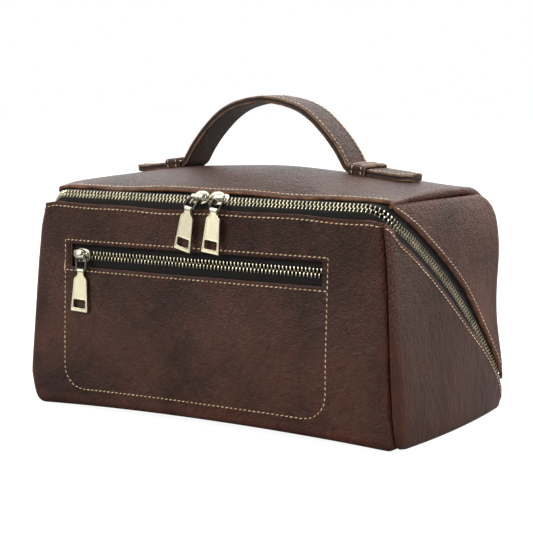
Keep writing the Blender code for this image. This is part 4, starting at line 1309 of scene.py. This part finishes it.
# (across, height) round the strap, with a groove between its two layers
STRAP_SECTION = [(-11.7, -2.1), (-12.3, -1.85), (-12.5, -1.3), (-12.5, -0.4), (-12.15, -0.02)]
STRAP_SECTION += [(-12.5, 0.4), (-12.5, 1.3), (-12.3, 1.85), (-11.7, 2.1)]
STRAP_SECTION += [(-9.4, 2.02), (-5, 2.3), (0, 2.4), (5, 2.3), (9.4, 2.02)]
STRAP_SECTION += [(-x, -z) for x, z in STRAP_SECTION[:9]]
STRAP_SECTION += [(9.0, -2.1), (0.0, -2.1), (-9.0, -2.1)]


def strap_mesh(name, path, widths, body):
    """A strap of two layers along a path in the x-z plane; widths scales its section at each station."""
    path = np.asarray(path, float)
    tangent = np.gradient(path, axis=0)
    rings = []
    for (x, z), t, w in zip(path, tangent, widths):
        t = unit(t)
        normal = vec(-t[1], t[0])
        ring = []
        for a, b in STRAP_SECTION:
            side = math.copysign(max(0.0, abs(a) - STRAP_HALF * (1 - w)), a) if w < 1 else a
            wob = 0.12 * math.sin(x / 4.1 + a) if abs(a) > 12 else 0.0
            ring.append(vec(x + normal[0] * b, STRAP_Y + side + wob, z + normal[1] * b))
        rings.append(ring)
    obj = lofts(name, [rings], body, STRAP_HIDE, STRAP_EDGE)
    m = len(STRAP_SECTION)
    core = np.zeros(len(obj.data.vertices), np.float32)
    cut = set(range(1, 8)) | set(range(m - 3 - 8, m - 3 - 1))
    for i in range(len(core)):
        core[i] = 1.0 if abs(STRAP_SECTION[i % m][1]) < 0.9 else 0.0
    obj.data.attributes.new("core", "FLOAT", "POINT").data.foreach_set("value", core)
    for polygon in obj.data.polygons:
        rim = all(v % m in cut or abs(STRAP_SECTION[v % m][0]) > 12.1 for v in polygon.vertices)
        if rim or len(polygon.vertices) > 4:
            polygon.material_index = 1
    sharp(obj, 60)
    return obj


def arch_path():
    half = [(64.0, 147.75), (60.6, 148.4), (57.6, 150.4), (55.3, 154.2), (51.4, 160.2), (45.6, 167.4)]
    half += [(38.4, 174.6), (31.0, 180.6), (23.6, 184.6), (16.4, 186.9), (9.6, 188.3), (0.0, 189.3)]
    right = np.array(half)[::-1]
    return spline(np.vstack([(right * vec(-1, 1))[::-1][:-1], right]), 110)


def make_handle():
    path = arch_path()
    arch = strap_mesh("handle_strap", path, np.ones(len(path)), "lid")
    tangent = np.gradient(path, axis=0)
    normals = [vec(-t[1], 0, t[0]) / np.linalg.norm(t) for t in tangent]
    stitched = []
    inside = [i for i, (x, _) in enumerate(path) if abs(x) < 60.5]
    stitch = {"pitch": 2.9, "length": 2.1, "radius": 0.32, "lift": 0.1}
    for offset, seed in ((-STRAP_STITCH_Y, 31), (STRAP_STITCH_Y, 32)):
        line = [vec(x, STRAP_Y + offset, z) + n * 2.02 for (x, z), n in zip(path, normals)]
        edge = "front" if offset < 0 else "back"
        points, ups = [line[i] for i in inside], [normals[i] for i in inside]
        stitched.append(stitch_row(f"stitches_handle_{edge}", points, ups, "lid", seed=seed, **stitch))
    for obj in [arch] + stitched:
        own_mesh(obj)
    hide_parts("handle_crown", "handle_leg_left", "handle_leg_right")
    for side in (-1, 1):
        name = hand(side)
        xs = np.r_[np.linspace(62.6, 92.0, 14), 93.5, 94.5, 95.5, 96.5, 97.5, 98.3, 98.9, 99.0]
        widths = [1 - max(0.0, x - 93.2) / 5.8 * 0.48 for x in xs]
        lift = [tab_z(x) + 0.9 * smooth(90, 99, x) * (0.6 if side > 0 else 0.9) for x in xs]
        flat = [(side * x, z) for x, z in zip(xs, lift)]
        tab = strap_mesh(f"handle_tab_{name}_strap", flat[::side], widths[::side], "lid")
        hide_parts(f"handle_tab_{name}")
        tip = [(96.2, -6.0), (96.9, -4.0), (96.9, 4.0), (96.2, 6.0)]
        line = [(x, -STRAP_STITCH_Y) for x in np.linspace(72.5, 91, 10)] + tip
        line += [(x, STRAP_STITCH_Y) for x in np.linspace(91, 72.5, 10)]
        top = [vec(side * x, STRAP_Y + y, tab_z(x) + 2.05 + 0.5 * smooth(90, 99, x)) for x, y in line]
        ups = [vec(side * TAB_SLOPE, 0, 1)] * len(top)
        stitch_row(f"stitches_tab_{name}", top, ups, "lid", seed=33, **stitch)
        make_keeper(side, name)


def make_keeper(side, name):
    """A band of leather over the strap, its two feet sewn into the top."""
    centre = vec(side * KEEPER_X, STRAP_Y, tab_z(KEEPER_X))
    along = unit(vec(side, 0, -TAB_SLOPE))
    up = unit(vec(side * TAB_SLOPE, 0, 1))
    outer = STRAP_HALF + 0.5 + KEEPER_THICK
    roof = STRAP_HALF_THICK + 0.45 + KEEPER_THICK
    path = [(-outer - 0.1, -4.2), (-outer, -1.5), (-outer + 0.15, 1.2)]
    bend = 2.6
    for a in np.radians((15, 35, 55, 75)):
        path.append((-outer + bend * (1 - math.cos(a)), roof - bend + bend * math.sin(a)))
    path += [(-9, roof + 0.1), (-4.5, roof + 0.2)]
    path += [(0.0, roof + 0.25)] + [(-y, z) for y, z in path[::-1]]
    path = spline(path, 60)
    tangent = np.gradient(path, axis=0)
    half = KEEPER_WIDTH / 2
    left = [(-half, -1.3), (-half - 0.05, -0.6), (-half + 0.25, -0.08), (-half + 1.4, 0.03)]
    section = left + [(0, 0.0)] + [(-x, z) for x, z in left[::-1]]
    section += [(half - 0.4, -KEEPER_THICK), (-half + 0.4, -KEEPER_THICK)]
    rings, normals = [], []
    for (y, z), t in zip(path, tangent):
        t = unit(t)
        n = vec(-t[1], t[0])
        spots = [(a, y + n[0] * b, z + n[1] * b) for a, b in section]
        rings.append([centre + along * a + vec(0, 1, 0) * b + up * c for a, b, c in spots])
        normals.append(vec(0, 1, 0) * n[0] + up * n[1])
    obj = lofts(f"keeper_{name}_loop", [rings], "lid", STRAP_HIDE, STRAP_EDGE)
    m = len(section)
    for polygon in obj.data.polygons:
        used = {v % m for v in polygon.vertices}
        if used <= {0, 1, 2, 10} or used <= {6, 7, 8, 9}:
            polygon.material_index = 1
    sharp(obj, 60)
    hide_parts(f"keeper_{name}")
    for k, offset in enumerate((-half + 2.2, half - 2.2)):
        line = [centre + along * offset + vec(0, 1, 0) * y + up * z for y, z in path]
        row = f"stitches_keeper_{name}_{k}"
        stitch_row(row, line[3:-3], normals[3:-3], "lid", 2.9, 2.1, 0.32, 0.08, 40 + k)


# ---------------------------------------------------------------- assembly

set_camera()
set_stage()
make_front()
base_rows = {side: make_base_gusset(side) for side in (-1, 1)}
lid_rows = {side: make_lid_gusset(side) for side in (-1, 1)}
top_grid = make_top()
make_fold()
make_edge_stitches(base_rows, lid_rows, top_grid)
make_pocket()
for made, node, slot in (
    (main_teeth("zip_teeth_base", -1, CHAIN_END, 0, "base"), "main_teeth_base", "teeth"),
    (main_teeth("zip_teeth_lid", 1, LID_CHAIN_END, 1, "lid"), "main_teeth_lid", "teeth"),
    (main_tape("zip_tape_base", -1, CHAIN_END, "base"), "main_tape_base", "zip_tape"),
    (main_tape("zip_tape_lid", 1, LID_CHAIN_END, "lid"), "main_tape_lid", "zip_tape"),
):
    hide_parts(node)
make_linings()
make_zip_pull("left", -3.2, -2.2, -14.0, 1)
make_zip_pull("right", 9.5, 2.2, -8.0, -1)
make_zip_pull("pocket", -88.8, 1.2, -2.5, -1)
make_handle()
